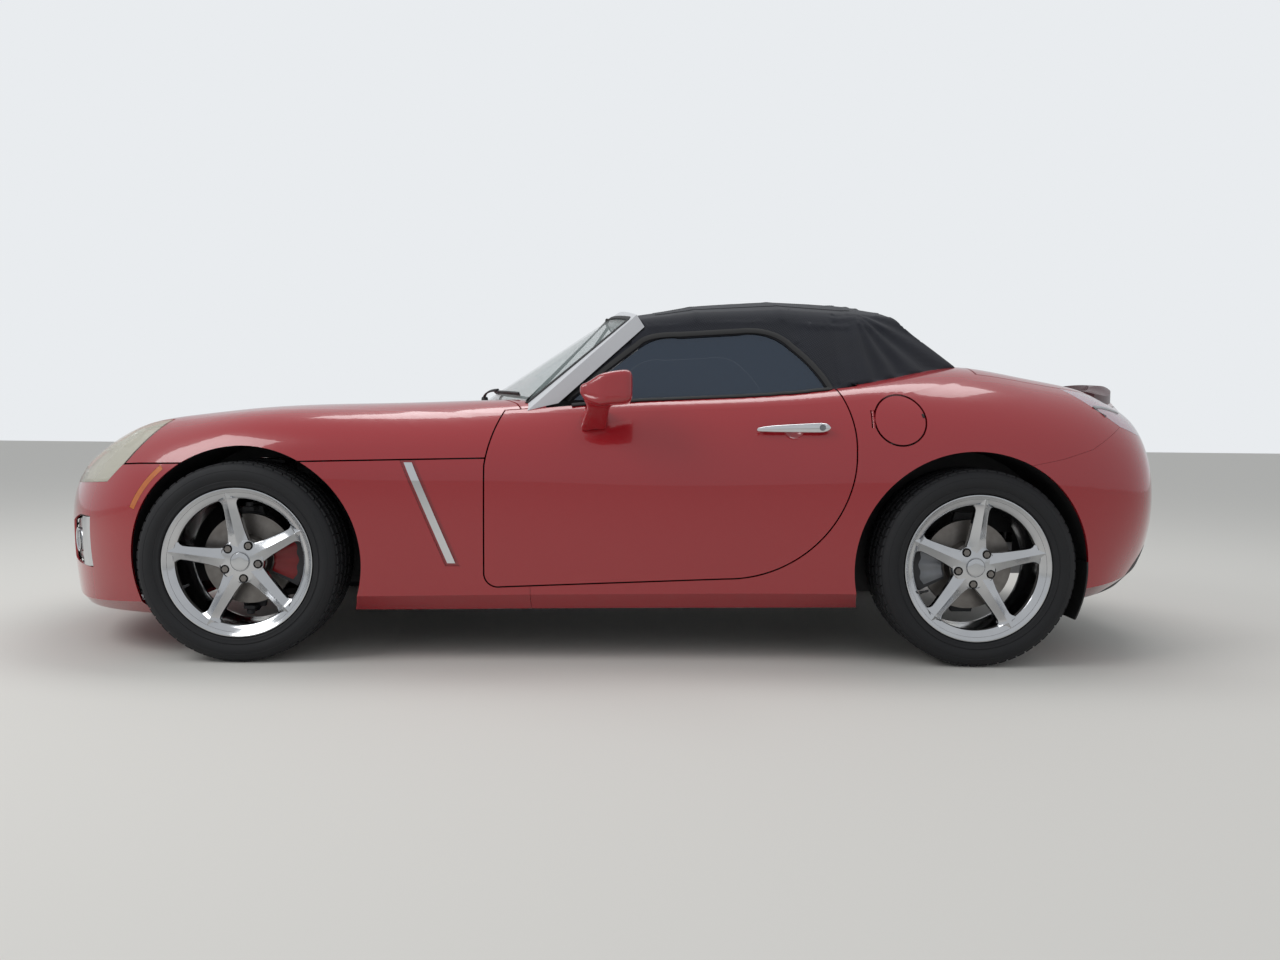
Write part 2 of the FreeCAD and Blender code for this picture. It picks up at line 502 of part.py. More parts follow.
def tent(inset):
    wires = []
    for x, yb, zb, y1, z1, y2, z2, zt in TENT_SECTIONS:
        base, rail, edge, top = (yb - inset, zb - inset), (y1 - inset, z1), (y2 - inset * 0.9, z2 - inset * 0.6), zt - inset
        if x == TENT_SECTIONS[0][0]:
            x -= inset

        def at(p, side):
            return V(x, side * p[0], p[1])

        bend = ((rail[0] + edge[0]) / 2 + 6, (rail[1] + edge[1]) / 2 + 6)
        wires.append(Part.Wire([
            Part.makeLine(at(base, -1), at(base, 1)), Part.makeLine(at(base, 1), at(rail, 1)),
            Part.Arc(at(rail, 1), at(bend, 1), at(edge, 1)).toShape(),
            Part.Arc(at(edge, 1), V(x, 0, top), at(edge, -1)).toShape(),
            Part.Arc(at(edge, -1), at(bend, -1), at(rail, -1)).toShape(),
            Part.makeLine(at(rail, -1), at(base, -1))]))
    return Part.makeLoft(wires, True, False)


def tent_cut(depth):
    """What lies under the rear slope and outside the notch, both moved in by depth."""
    sx, sz = REAR_SLOPE_TOP
    fx, fz = REAR_SLOPE_FOOT
    slope = [(-320, 700), (fx + (fz - 700) * (fx - sx) / (sz - fz) - depth * 1.3, 700),
             (sx - depth * 1.3 - (1400 - sz) * (fx - sx) / (sz - fz), 1400), (-320, 1400)]
    notch = [(905 - 75 - depth, 1400), (905 - depth, 1250), (1120 - depth, 950), (1120 + 180 - depth, 700),
             (1700, 700), (1700, 1400)]
    return side_prism(slope, -900, 900).cut(side_prism(notch, -NOTCH_Y - depth, NOTCH_Y + depth))


screen_clear = windscreen_slab((-400, 860, 724, -640, 785), (121.5, 700, 1148.3, 20.3, 1226.2), 190, FRAME_DEPTH + 1)
frame_clear = windscreen_slab((-290, 750, 818, -520, 865), (90, 585, 1172, 20, 1226), 100, FRAME_DEPTH + SEAT_GAP)
tent_outer = tent(0.0).common(tent_cut(0.0))
tent_inner = tent(CLOTH).common(tent_cut(CLOTH))
door_window = [
    (-150, 800), (-141, 855), (-30, 948, 103, 1053), (150, 1078, 242, 1086), (442, 1099),
    (545, 1094, 618, 1048), (690, 975, 736, 900), (745, 800)]
tent_skin = tent_outer.cut(tent_inner).cut(screen_clear).cut(frame_clear).cut(body_envelope(-SEAT_GAP))
tent_skin = tent_skin.cut(both_sides(side_prism(door_window, -900, -400, SHUT_GAP)))
NOTCH_TOP = V(905, 0, 1250)
notch_run = V(215, 0, -300).normalize()
REAR_PANE = (94.0, 329.5)


def in_notch(shape):
    """Lays a shape drawn flat about the origin into the slope between the buttresses, its +X downhill."""
    slope = math.degrees(math.atan2(-notch_run.z, notch_run.x))
    shape.Placement = FreeCAD.Placement(NOTCH_TOP + notch_run * 170, FreeCAD.Rotation(V(0, 1, 0), slope))
    return shape


half_x, half_y = REAR_PANE[0] + SEAT_GAP, REAR_PANE[1] + SEAT_GAP
tent_skin = tent_skin.cut(in_notch(Part.makeBox(2 * half_x, 2 * half_y, 60, V(-half_x, -half_y, -30))))
save("soft_top", tent_skin)

# Side windows in the doors, and the rear window in the notch
print("glass")
pane_shell = tent(3.0).cut(tent(8.0)).common(side_prism(door_window, -900, -400)).cut(body_envelope(-SEAT_GAP))
side_pane = max(pane_shell.Solids, key=lambda solid: solid.Volume)
save("door_glass_left", side_pane)
save("door_glass_right", mirrored(side_pane))
save("rear_window", in_notch(Part.makeBox(2 * REAR_PANE[0], 2 * REAR_PANE[1], 5, V(-REAR_PANE[0], -REAR_PANE[1], -8))))

# Mirrors on the doors
mirror_shell = Part.makeLoft([
    Part.Wire(Part.makePolygon([V(-90, -1000, 862), V(-90, -878, 858), V(-90, -876, 915), V(-90, -990, 920), V(-90, -1000, 862)])),
    Part.Wire(Part.makePolygon([V(-30, -1012, 852), V(-30, -866, 848), V(-30, -864, 950), V(-30, -1002, 952), V(-30, -1012, 852)])),
    Part.Wire(Part.makePolygon([V(70, -1010, 860), V(70, -860, 856), V(70, -858, 958), V(70, -1000, 960), V(70, -1010, 860)]))],
    True, True)
stalk = Part.makeLoft([
    Part.Wire(Part.makePolygon([V(-95, -812, 762), V(-10, -812, 770), V(-10, -760, 826), V(-95, -760, 818), V(-95, -812, 762)])),
    Part.Wire(Part.makePolygon([V(-60, -930, 858), V(0, -930, 862), V(0, -900, 884), V(-60, -900, 880), V(-60, -930, 858)]))],
    True, True)
mirror = mirror_shell.makeFillet(16, mirror_shell.Edges).fuse(stalk).cut(body_envelope(-SEAT_GAP))
mirror = max(mirror.Solids, key=lambda solid: solid.Volume)
save("mirror_left", mirror)
save("mirror_right", mirrored(mirror))

# Door handles stand on the skin over a round finger cup
HANDLE_Z = 782.0
handle_band = box(484, 723, -1000, -600, HANDLE_Z - 9, HANDLE_Z + 9)
handle = handle_band.common(body_envelope(-24.0)).cut(body_envelope(-14.0))
foot_front = box(486, 512, -1000, -600, HANDLE_Z - 8, HANDLE_Z + 8)
foot_rear = box(690, 721, -1000, -600, HANDLE_Z - 8, HANDLE_Z + 8)
feet = foot_front.fuse(foot_rear).common(body_envelope(-20.0)).cut(body_envelope(-SEAT_GAP))
handle = handle.fuse(feet)
save("door_handle_left", handle)
save("door_handle_right", mirrored(handle))

# Floor, sills, bulkheads, door posts with the hinges, and the rear rails: the welded tub
print("tub")
FLOOR_Z = 200.0
DASH_WALL = -560.0             # front face of the bulkhead ahead of the cabin
CABIN_REAR = COCKPIT_REAR - 6  # front face of the bulkhead behind the seats
TUNNEL_HALF = 140.0
TUNNEL_TOP = 430.0
WALL = 12.0
REAR_RAIL_Y = (520.0, 596.0)
POST_Y = 640.0
HOUSING = 6.0
FLAP_TOP = 350.0
tub_parts = [
    box(DASH_WALL, CABIN_REAR + WALL, -SILL_Y, SILL_Y, FLOOR_Z - 15, FLOOR_Z),
    box(DASH_WALL, DASH_WALL + WALL, -SILL_Y, SILL_Y, FLOOR_Z - 15, 900),
    box(CABIN_REAR, CABIN_REAR + WALL, -SILL_Y, SILL_Y, FLOOR_Z - 15, 1000),
    box(DASH_WALL, CABIN_REAR + WALL, -TUNNEL_HALF, TUNNEL_HALF, FLOOR_Z - 15, TUNNEL_TOP),
    box(CABIN_REAR, REAR_AXLE + 640, -REAR_RAIL_Y[0], REAR_RAIL_Y[0], 440, 452),
    box(REAR_AXLE + 628, REAR_AXLE + 640, -REAR_RAIL_Y[1] + 40, REAR_RAIL_Y[1] - 40, 330, 740),
]
for side in (-1, 1):
    inner, outer = sorted((side * 640.0, side * SILL_Y))
    tub_parts.append(box(FRONT_ARCH[0] + FRONT_ARCH[2] + 1 + HOUSING + SEAT_GAP, CABIN_REAR + WALL, inner, outer,
                         FLOOR_Z - 15, 330))
    inner, outer = sorted((side * REAR_RAIL_Y[0], side * REAR_RAIL_Y[1]))
    tub_parts.append(box(CABIN_REAR, REAR_AXLE + 640, inner, outer, 420, 500))
    inner, outer = sorted((side * POST_Y, side * 900.0))
    tub_parts.append(box(DOOR_FRONT - 155, DOOR_FRONT - 18, inner, outer, FLOOR_Z - 15, 790))
    tub_parts.append(box(DOOR_REAR - 260, COCKPIT_REAR + WALL, inner, outer, FLOOR_Z - 15, 1000).cut(
        box(DOOR_REAR - 261, CABIN_REAR, -SILL_Y + 24, SILL_Y - 24, 100, 1100)))
tub = tub_parts[0].fuse(tub_parts[1:])
tub = tub.cut(box(DASH_WALL - 1, CABIN_REAR + WALL + 1, -TUNNEL_HALF + WALL, TUNNEL_HALF - WALL, 0, TUNNEL_TOP - WALL))
tub = tub.common(under_skin).cut(both_sides(side_prism(DOOR_OUTLINE, -1000, -DOOR_INNER_Y + 10, 10)))
arch_x, arch_z, arch_radius = REAR_ARCH
tub = tub.cut(both_sides(drum(arch_x, -1000, -REAR_RAIL_Y[1] - SEAT_GAP, arch_z, arch_radius + 1 + HOUSING + SEAT_GAP)))
for z in HINGE_HEIGHTS:
    arm = box(hinge_x - 5, hinge_x + 6, -hinge_y, -SILL_Y + 30, z - 12, z + 12)
    eye = rod((hinge_x, -hinge_y, z - 12), (hinge_x, -hinge_y, z + 12), 6)
    pin = rod((hinge_x, -hinge_y, z - 25), (hinge_x, -hinge_y, z + 25), 3)
    base = box(DOOR_FRONT - 100, hinge_x + 9, -SILL_Y, -SILL_Y + 30, z - 12, z + 12)
    hinge = arm.fuse([eye, pin, base])
    tub = tub.fuse([hinge, mirrored(hinge)])
SEAT_MIDDLE = 395.0
for side in (-1, 1):
    for rail_y in (SEAT_MIDDLE - 190, SEAT_MIDDLE + 170):
        y0, y1 = sorted((side * rail_y, side * (rail_y + 24)))
        tub = tub.fuse(box(200, 700, y0, y1, FLOOR_Z, FLOOR_Z + 40))
save("floor_tub", tub)

# Front frame: rails, cross-member, radiator carrier, crash beam and spring towers
RAIL_Y = (380.0, 440.0)
LINER_WALL_Y = 466.0
frame_parts = [box(NOSE + 245, NOSE + 285, -560, 560, 205, 235), box(NOSE + 245, NOSE + 285, -450, 450, 600, 622),
               box(NOSE + 120, NOSE + 160, -RAIL_Y[1], RAIL_Y[1], 390, 490),
               box(FRONT_AXLE - 90, FRONT_AXLE + 90, -RAIL_Y[1], RAIL_Y[1], 165, 225)]
for side in (-1, 1):
    inner, outer = sorted((side * RAIL_Y[0], side * RAIL_Y[1]))
    frame_parts.append(box(NOSE + 150, DASH_WALL - SEAT_GAP, inner, outer, 390, 470))
    frame_parts.append(box(NOSE + 245, NOSE + 285, inner, outer, 205, 620))
    frame_parts.append(box(FRONT_AXLE - 80, FRONT_AXLE + 80, inner, outer, 165, 400))
    inner, outer = sorted((side * RAIL_Y[0], side * LINER_WALL_Y))
    frame_parts.append(box(FRONT_AXLE - 60, FRONT_AXLE + 60, inner, outer, 400, 652))
    inner, outer = sorted((side * LINER_WALL_Y, side * 580))
    frame_parts.append(box(FRONT_AXLE - 60, FRONT_AXLE + 60, inner, outer, 640, 652))
front_frame = frame_parts[0].fuse(frame_parts[1:])
save("front_frame", front_frame)

# Wheel housings inside the arches


def wheel_housing(arch, wall_y, depth, window):
    x, z, radius = arch
    ring = drum(x, -950, -wall_y - SEAT_GAP, z, radius + 1 + HOUSING).cut(drum(x, -960, -wall_y - SEAT_GAP - 3, z, radius + 1))
    ring = ring.cut(box(x - 500, x + 500, -1000, 0, 0, 205)).cut(window)
    return ring.common(body_envelope(depth))


front_window = box(FRONT_AXLE - 200, FRONT_AXLE + 200, -900, 0, 0, 560).fuse(
    box(FRONT_AXLE - 62, FRONT_AXLE + 62, -600, 0, 500, 655))
rear_window_gap = box(REAR_AXLE - 220, REAR_AXLE + 220, -700, 0, 0, 425).fuse(
    box(REAR_AXLE, REAR_AXLE + 600, -1000, 0, 0, FLAP_TOP))
front_housing = wheel_housing(FRONT_ARCH, LINER_WALL_Y, SKIN + SHUT_GAP + 1, front_window)
rear_housing = wheel_housing(REAR_ARCH, REAR_RAIL_Y[1], SKIN + SEAT_GAP, rear_window_gap)
save("wheel_housings", Part.makeCompound([front_housing, mirrored(front_housing), rear_housing, mirrored(rear_housing)]))

# Engine and gearbox as plain masses, with the final drive in the rear suspension
engine = box(FRONT_AXLE - 60, FRONT_AXLE + 560, -225, 225, 240, 690).fuse([
    box(FRONT_AXLE + 560, DASH_WALL + 520, -110, 110, 215, 400),
    box(FRONT_AXLE - 50, FRONT_AXLE + 60, -225, -125, 225 + SEAT_GAP, 240),
    box(FRONT_AXLE - 50, FRONT_AXLE + 60, 125, 225, 225 + SEAT_GAP, 240)])
save("engine", engine)
radiator = box(NOSE + 285 + SEAT_GAP, NOSE + 335, -370, 370, 236, 590)
save("radiator", radiator)

# Dashboard, console, pedals, seats
dash_side = [(DASH_WALL + WALL + SEAT_GAP, 640), (DASH_WALL + WALL + SEAT_GAP, 790), (-420, 838), (-250, 858),
             (-100, 848), (-62, 800), (-78, 690), (-150, 590), (-300, 560), (-440, 560)]
dash = side_prism(dash_side, -SILL_Y + 35, SILL_Y - 35)
binnacle = side_prism([(COWL_REAR + 3, 850), (-110, 905), (-78, 893), (-70, 835)], -520, -250)
dash = dash.cut(both_sides(box(DASH_WALL, DOOR_FRONT - 18 + SEAT_GAP, -SILL_Y, -POST_Y + SEAT_GAP, 500, 900)))
dash = dash.fuse(binnacle).common(body_envelope(SKIN + SEAT_GAP).fuse(
    box(COWL_REAR + FIXED_GAP, 0, -700, 700, 500, 1000)))
column = rod((-160, -SEAT_MIDDLE, 735 - 310 * math.tan(math.radians(24))),
             (150 - 60, -SEAT_MIDDLE, 735 - 60 * math.tan(math.radians(24))), 34)
save("dashboard", dash.fuse(column))
console_side = [(-120, TUNNEL_TOP + SEAT_GAP), (-150, 585), (-60, 560), (60, 500), (330, 492), (380, 530), (700, 540),
                (740, TUNNEL_TOP + SEAT_GAP)]
console = side_prism(console_side, -120, 120).cut(dash)
knob = rod((215, 0, 480), (200, 0, 590), 10).fuse(Part.makeSphere(26, V(198, 0, 606)))
save("console", console.fuse(knob))
seat_side = [(180, 262), (168, 330), (196, 392), (330, 368), (590, 352), (650, 392), (725, 880), (738, 990),
             (770, 1018), (806, 1008), (816, 960), (800, 820), (762, 440), (745, 300), (700, 250),
             (230, FLOOR_Z + 40 + SEAT_GAP), (190, FLOOR_Z + 40 + SEAT_GAP)]
seat_side[14] = (700, FLOOR_Z + 40 + SEAT_GAP)
seat = side_prism(seat_side, -SEAT_MIDDLE - 230, -SEAT_MIDDLE + 230)
save("seat_left", seat)
save("seat_right", mirrored(seat))
pedals = []
for pedal_y in (-470, -395, -300):
    pad = box(-400, -388, pedal_y - 28, pedal_y + 28, 290, 370)
    lever = side_prism([(DASH_WALL + WALL + SEAT_GAP, 520), (DASH_WALL + WALL + SEAT_GAP, 545), (-390, 350), (-400, 330)],
                       pedal_y - 6, pedal_y + 6)
    pedals.append(pad.fuse(lever))
save("pedals", Part.makeCompound(pedals))

# Steering wheel
WHEEL_TILT = math.radians(24)
STEER_CENTRE = V(150, -SEAT_MIDDLE, 735)
steer_axis = V(math.cos(WHEEL_TILT), 0, math.sin(WHEEL_TILT))
rim_ring = Part.makeTorus(182, 15, STEER_CENTRE, steer_axis)
boss = Part.makeCylinder(60, 44, STEER_CENTRE - steer_axis * 52, steer_axis)
steer_parts = [boss, Part.makeCylinder(14, 20, STEER_CENTRE - steer_axis * 62, steer_axis)]
across = V(0, 1, 0)
upward = steer_axis.cross(across)
for angle in (0, 180, 270):
    a = math.radians(angle)
    run = across * math.cos(a) + upward * math.sin(a)
    start = STEER_CENTRE - steer_axis * 30 + run * 40
    reach = STEER_CENTRE + run * 178 - start
    spoke = Part.makeBox(reach.Length, 30, 10, V(0, -15, -5))
    spoke.Placement = FreeCAD.Placement(start, FreeCAD.Rotation(reach, V(0, 0, 0), steer_axis, "XZY"))
    steer_parts.append(spoke)
save("steering_wheel", rim_ring.fuse(steer_parts))

# Wheels. Each is drawn for the car's left side, o runs inboard from the wheel's middle plane.
print("wheels")
BARREL = 205.0
BEAD = 228.0
MOUNT_FACE = -45.0
LUG_CIRCLE = 57.0
SPOKES = 5
DISC_RADIUS = 150.0
DISC_FACES = (2.0, 28.0)
HUB_RADIUS = 36.0


def revolved(points):
    """Turns a closed profile of (o, radius) about the Y axis."""
    wire = Part.makePolygon([V(0, o, radius) for o, radius in points + points[:1]])
    return Part.Face(wire).revolve(V(0, 0, 0), V(0, 1, 0), 360)


def wheel_rim(lead):
    """A rim with its spokes, the first one turned by lead degrees from upright towards the tail."""
    half = RIM_WIDTH / 2
    barrel = revolved([
        (-half, RIM_FLANGE_RADIUS), (-half + 8, RIM_FLANGE_RADIUS), (-half + 8, BEAD), (-half + 32, BEAD - 3),
        (-half + 50, BARREL + 7), (half - 60, BARREL + 7), (half - 32, BEAD - 3), (half - 8, BEAD),
        (half - 8, RIM_FLANGE_RADIUS), (half, RIM_FLANGE_RADIUS), (half, RIM_FLANGE_RADIUS - 8),
        (half - 16, BEAD - 10), (half - 62, BARREL), (-half + 48, BARREL), (-half + 20, BARREL + 8),
        (-half + 9, RIM_FLANGE_RADIUS - 14), (-half, RIM_FLANGE_RADIUS - 8)])
    hub = revolved([(MOUNT_FACE, 0), (MOUNT_FACE, 74), (-70, 74), (-78, 66), (-80, 34), (-84, 30), (-86, 0)])
    parts = [hub]
    for number in range(SPOKES):
        wires = []
        for radius, width, back, edge, ridge in ((50, 84, -50, -70, -78), (120, 56, -52, -78, -88),
                                                 (180, 56, -62, -90, -98), (216, 64, -72, -96, -102)):
            points = [(-width / 2, back), (-width / 2, edge), (-width * 0.16, ridge), (width * 0.16, ridge),
                      (width / 2, edge), (width / 2, back)]
            wires.append(Part.makePolygon([V(u, o, radius) for u, o in points + points[:1]]))
        spoke = Part.makeLoft(wires, True, True)
        spoke.rotate(V(0, 0, 0), V(0, 1, 0), lead + number * 360 / SPOKES)
        parts.append(spoke)
    rim = barrel.fuse(parts)
    for number in range(SPOKES):
        a = math.radians(lead + (number + 0.5) * 360 / SPOKES)
        x, z = LUG_CIRCLE * math.sin(a), LUG_CIRCLE * math.cos(a)
        rim = rim.cut(drum(x, -95, -62, z, 15)).cut(drum(x, -70, 0, z, 7.5 + PIN_PLAY))
    return rim


def wheel_tyre():
    half = TYRE_WIDTH / 2
    seat = RIM_WIDTH / 2 - 8 - SEAT_GAP
    r = TYRE_RADIUS
    outer = [(seat - 18, BEAD + SEAT_GAP), (seat, BEAD + SEAT_GAP), (seat, RIM_FLANGE_RADIUS + 1),
             (seat + 6, RIM_FLANGE_RADIUS + 6), (half - 4, r - 68), (half, r - 50), (half - 2, r - 30),
             (half - 9, r - 12), (half - 20, r - 4), (half - 50, r - 1)]
    inner = [(half - 30, r - 16), (half - 16, r - 40), (half - 16, r - 62), (seat - 18, BEAD + 16)]
    profile = outer + [(-o, radius) for o, radius in reversed(outer)]
    profile += [(-o, radius) for o, radius in reversed(inner)] + inner
    profile[10:10] = [(20, r), (-20, r)]
    return revolved(profile)


def wheel_disc(lead):
    """Brake disc, hub and the studs with their nuts."""
    disc = revolved([(DISC_FACES[0], 0), (MOUNT_FACE + SEAT_GAP, 0), (MOUNT_FACE + SEAT_GAP, 76), (DISC_FACES[0], 80),
                     (DISC_FACES[0], DISC_RADIUS), (DISC_FACES[1], DISC_RADIUS), (DISC_FACES[1], HUB_RADIUS),
                     (74, HUB_RADIUS), (74, 0)])
    studs = []
    for number in range(SPOKES):
        a = math.radians(lead + (number + 0.5) * 360 / SPOKES)
        x, z = LUG_CIRCLE * math.sin(a), LUG_CIRCLE * math.cos(a)
        studs.append(drum(x, -64, MOUNT_FACE + 2, z, 7))
        nut = Part.makePolygon([V(x + 11 * math.cos(k * math.pi / 3), -62 - SEAT_GAP, z + 11 * math.sin(k * math.pi / 3))
                                for k in range(7)])
        studs.append(Part.Face(nut).extrude(V(0, -16, 0)))
    return disc.fuse(studs)


def knuckle(sector, steered):
    """Upright with the brake caliper; sector is +1 for a caliper behind the axle and -1 for one ahead."""
    spine = side_prism([(-34, -170), (34, -170), (60, -60), (60, 60), (30, 172), (-30, 172), (-60, 60), (-60, -60)],
                       49.5, 71.5)
    caliper = drum(0, -24, 52, 0, 190).cut(drum(0, -30, 60, 0, 97))
    wedge = side_prism([(0, 0), (sector * 300, -300 * math.tan(math.radians(27))),
                        (sector * 300, 300 * math.tan(math.radians(27)))], -30, 60)
    slot = drum(0, DISC_FACES[0] - 2.5, DISC_FACES[1] + 2.5, 0, DISC_RADIUS + 3)
    caliper = caliper.common(wedge).cut(slot)
    ear = box(0, 110, 49.5, 60, -34, 34) if sector > 0 else box(-110, 0, 49.5, 60, -34, 34)
    body = spine.fuse([caliper, ear])
    if steered:
        king = KINGPIN_OFFSET
        body = body.fuse([box(-18, 18, king - 16, 60, 160, 172), box(-18, 18, king - 16, 60, -170, -160)])
        body = body.cut(rod((0, king, 150), (0, king, 190), 5 + PIN_PLAY)).cut(
            rod((0, king, -190), (0, king, -150), 5 + PIN_PLAY))
    return body.cut(drum(0, 30, 90, 0, HUB_RADIUS + PIN_PLAY))


KINGPIN_OFFSET = 14.0
FRONT_LEAD = -9.5
REAR_LEAD = 5.0
for axle, track, lead, where in ((FRONT_AXLE, TRACK_FRONT, FRONT_LEAD, "front"), (REAR_AXLE, TRACK_REAR, REAR_LEAD, "rear")):
    centre = V(axle, -track / 2, HUB_Z)
    for name, shape in (("rim", wheel_rim(lead)), ("tyre", wheel_tyre()), ("brake_disc", wheel_disc(lead))):
        shape.translate(centre)
        save(name + "_" + where + "_left", shape)
        save(name + "_" + where + "_right", mirrored(shape))
upright = knuckle(1, True)
upright.translate(V(FRONT_AXLE, -TRACK_FRONT / 2, HUB_Z))
save("knuckle_left", upright)
save("knuckle_right", mirrored(upright))

# Front suspension: arms with their ball pins, and the spring legs
king_y = -TRACK_FRONT / 2 + KINGPIN_OFFSET
low, high = HUB_Z - 172 - 1, HUB_Z + 172 + 1
lower_arm = rod((FRONT_AXLE, king_y, low - 15), (FRONT_AXLE, king_y, low), 13).fuse([
    rod((FRONT_AXLE, king_y, low - 8), (FRONT_AXLE, king_y, low + 8), 5),
    rod((FRONT_AXLE, king_y, low - 8), (FRONT_AXLE, -688, low - 8), 7.5),
    rod((FRONT_AXLE, -694, low - 8), (FRONT_AXLE, -590, 178), 9),
    plan_prism([(FRONT_AXLE - 14, -612), (FRONT_AXLE + 14, -612), (FRONT_AXLE + 130, -RAIL_Y[1] - SEAT_GAP),
                (FRONT_AXLE - 130, -RAIL_Y[1] - SEAT_GAP)], 168, 190),
    rod((FRONT_AXLE, -556, 180), (FRONT_AXLE, -524, 640 - SEAT_GAP - 30), 40),
    rod((FRONT_AXLE, -524, 560), (FRONT_AXLE, -524, 640 - SEAT_GAP), 44)])
upper_arm = rod((FRONT_AXLE, king_y, high), (FRONT_AXLE, king_y, high + 15), 13).fuse([
    rod((FRONT_AXLE, king_y, high - 8), (FRONT_AXLE, king_y, high + 8), 5),
    rod((FRONT_AXLE - 0.0, king_y, high + 8), (FRONT_AXLE, -684, high + 6), 7),
    rod((FRONT_AXLE, -690, high + 6.5), (FRONT_AXLE, -600, 480), 8.5)])
fork = plan_prism([(FRONT_AXLE - 12, -620), (FRONT_AXLE + 12, -620), (FRONT_AXLE + 58, -570), (FRONT_AXLE + 58, -LINER_WALL_Y - SEAT_GAP),
                   (FRONT_AXLE + 48, -LINER_WALL_Y - SEAT_GAP), (FRONT_AXLE + 48, -575), (FRONT_AXLE, -603), (FRONT_AXLE - 48, -575),
                   (FRONT_AXLE - 48, -LINER_WALL_Y - SEAT_GAP), (FRONT_AXLE - 58, -LINER_WALL_Y - SEAT_GAP),
                   (FRONT_AXLE - 58, -570)], 472, 488)
upper_arm = upper_arm.fuse(fork)
save("front_suspension", Part.makeCompound([lower_arm, upper_arm, mirrored(lower_arm), mirrored(upper_arm)]))

# Rear suspension with the final drive and half shafts
carrier = knuckle(-1, False)
carrier.translate(V(REAR_AXLE, -TRACK_REAR / 2, HUB_Z))
carrier_y = -TRACK_REAR / 2 + 60
rear_side = carrier.fuse([
    rod((REAR_AXLE, carrier_y, 190), (REAR_AXLE, -280, 215), 13),
    rod((REAR_AXLE - 30, carrier_y, 412), (REAR_AXLE - 60, -280, 352), 11),
    rod((REAR_AXLE + 20, carrier_y, 200), (REAR_AXLE + 150, -470, 222), 13),
    rod((REAR_AXLE + 150, -470, 222), (REAR_AXLE + 150, -556, 222), 13),
    rod((REAR_AXLE + 150, -556, 210), (REAR_AXLE + 150, -556, 420 - SEAT_GAP), 38)])
rear_middle = box(REAR_AXLE - 110, REAR_AXLE + 110, -300, 300, 335, 375).fuse([
    box(REAR_AXLE - 140, REAR_AXLE + 120, -105, 105, 255, 415),
    box(REAR_AXLE - 30, REAR_AXLE + 30, -300, -270, 200, 350), box(REAR_AXLE - 30, REAR_AXLE + 30, 270, 300, 200, 350),
    box(REAR_AXLE - 110, REAR_AXLE - 70, -300, -260, 340, 440 - SEAT_GAP),
    box(REAR_AXLE - 110, REAR_AXLE - 70, 260, 300, 340, 440 - SEAT_GAP),
    drum(REAR_AXLE, -TRACK_REAR / 2 + 74 + SEAT_GAP, TRACK_REAR / 2 - 74 - SEAT_GAP, HUB_Z, 14),
    rod((DASH_WALL + 520 + SEAT_GAP, 0, 320), (REAR_AXLE - 139, 0, 325), 32)])
save("rear_suspension", rear_middle.fuse([rear_side, mirrored(rear_side)]))

# Exhaust: pipe in the tunnel, silencer across the tail and one outlet on the right
PIPE = 24.0
run = [(FRONT_AXLE + 420, 60, 190 - PIPE), (REAR_AXLE - 330, 60, 184), (REAR_AXLE - 190, 175, 184), (REAR_AXLE + 200, 175, 184),
       (REAR_AXLE + 330, 175, 255)]
exhaust = box(REAR_AXLE + 300, REAR_AXLE + 520, -120, 420, 205, 330).fuse([
    rod(run[0], run[1], PIPE), rod(run[1], run[2], PIPE), rod(run[2], run[3], PIPE), rod(run[3], run[4], PIPE),
    Part.makeSphere(PIPE, V(*run[1])), Part.makeSphere(PIPE, V(*run[2])), Part.makeSphere(PIPE, V(*run[3])),
    rod((REAR_AXLE + 518, TAILPIPE_Y, 245), (TAIL - 75, TAILPIPE_Y, 245), 34),
    rod((REAR_AXLE + 400, -60, 325), (REAR_AXLE + 400, -60, 440 - SEAT_GAP), 6),
    rod((REAR_AXLE + 400, 360, 325), (REAR_AXLE + 400, 360, 440 - SEAT_GAP), 6)])
exhaust = exhaust.cut(rod((TAIL - 220, TAILPIPE_Y, 245), (TAIL - 70, TAILPIPE_Y, 245), 30))
save("exhaust", exhaust)

# Splash guards behind the rear wheels
arch_x, arch_z, arch_radius = REAR_ARCH
guard = drum(arch_x, -TRACK_REAR / 2 - 88, -TRACK_REAR / 2 + 90, arch_z, arch_radius - 2)
guard = guard.cut(drum(arch_x, -1000, -500, arch_z, arch_radius - 7))
guard = guard.common(box(arch_x + 200, arch_x + 500, -1000, -500, 158, FLAP_TOP - SEAT_GAP))
save("splash_guards", both_sides(guard))
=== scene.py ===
import json
import math

import bmesh
import bpy
import numpy as np
from mathutils import Matrix, Vector, noise
from mathutils.bvhtree import BVHTree

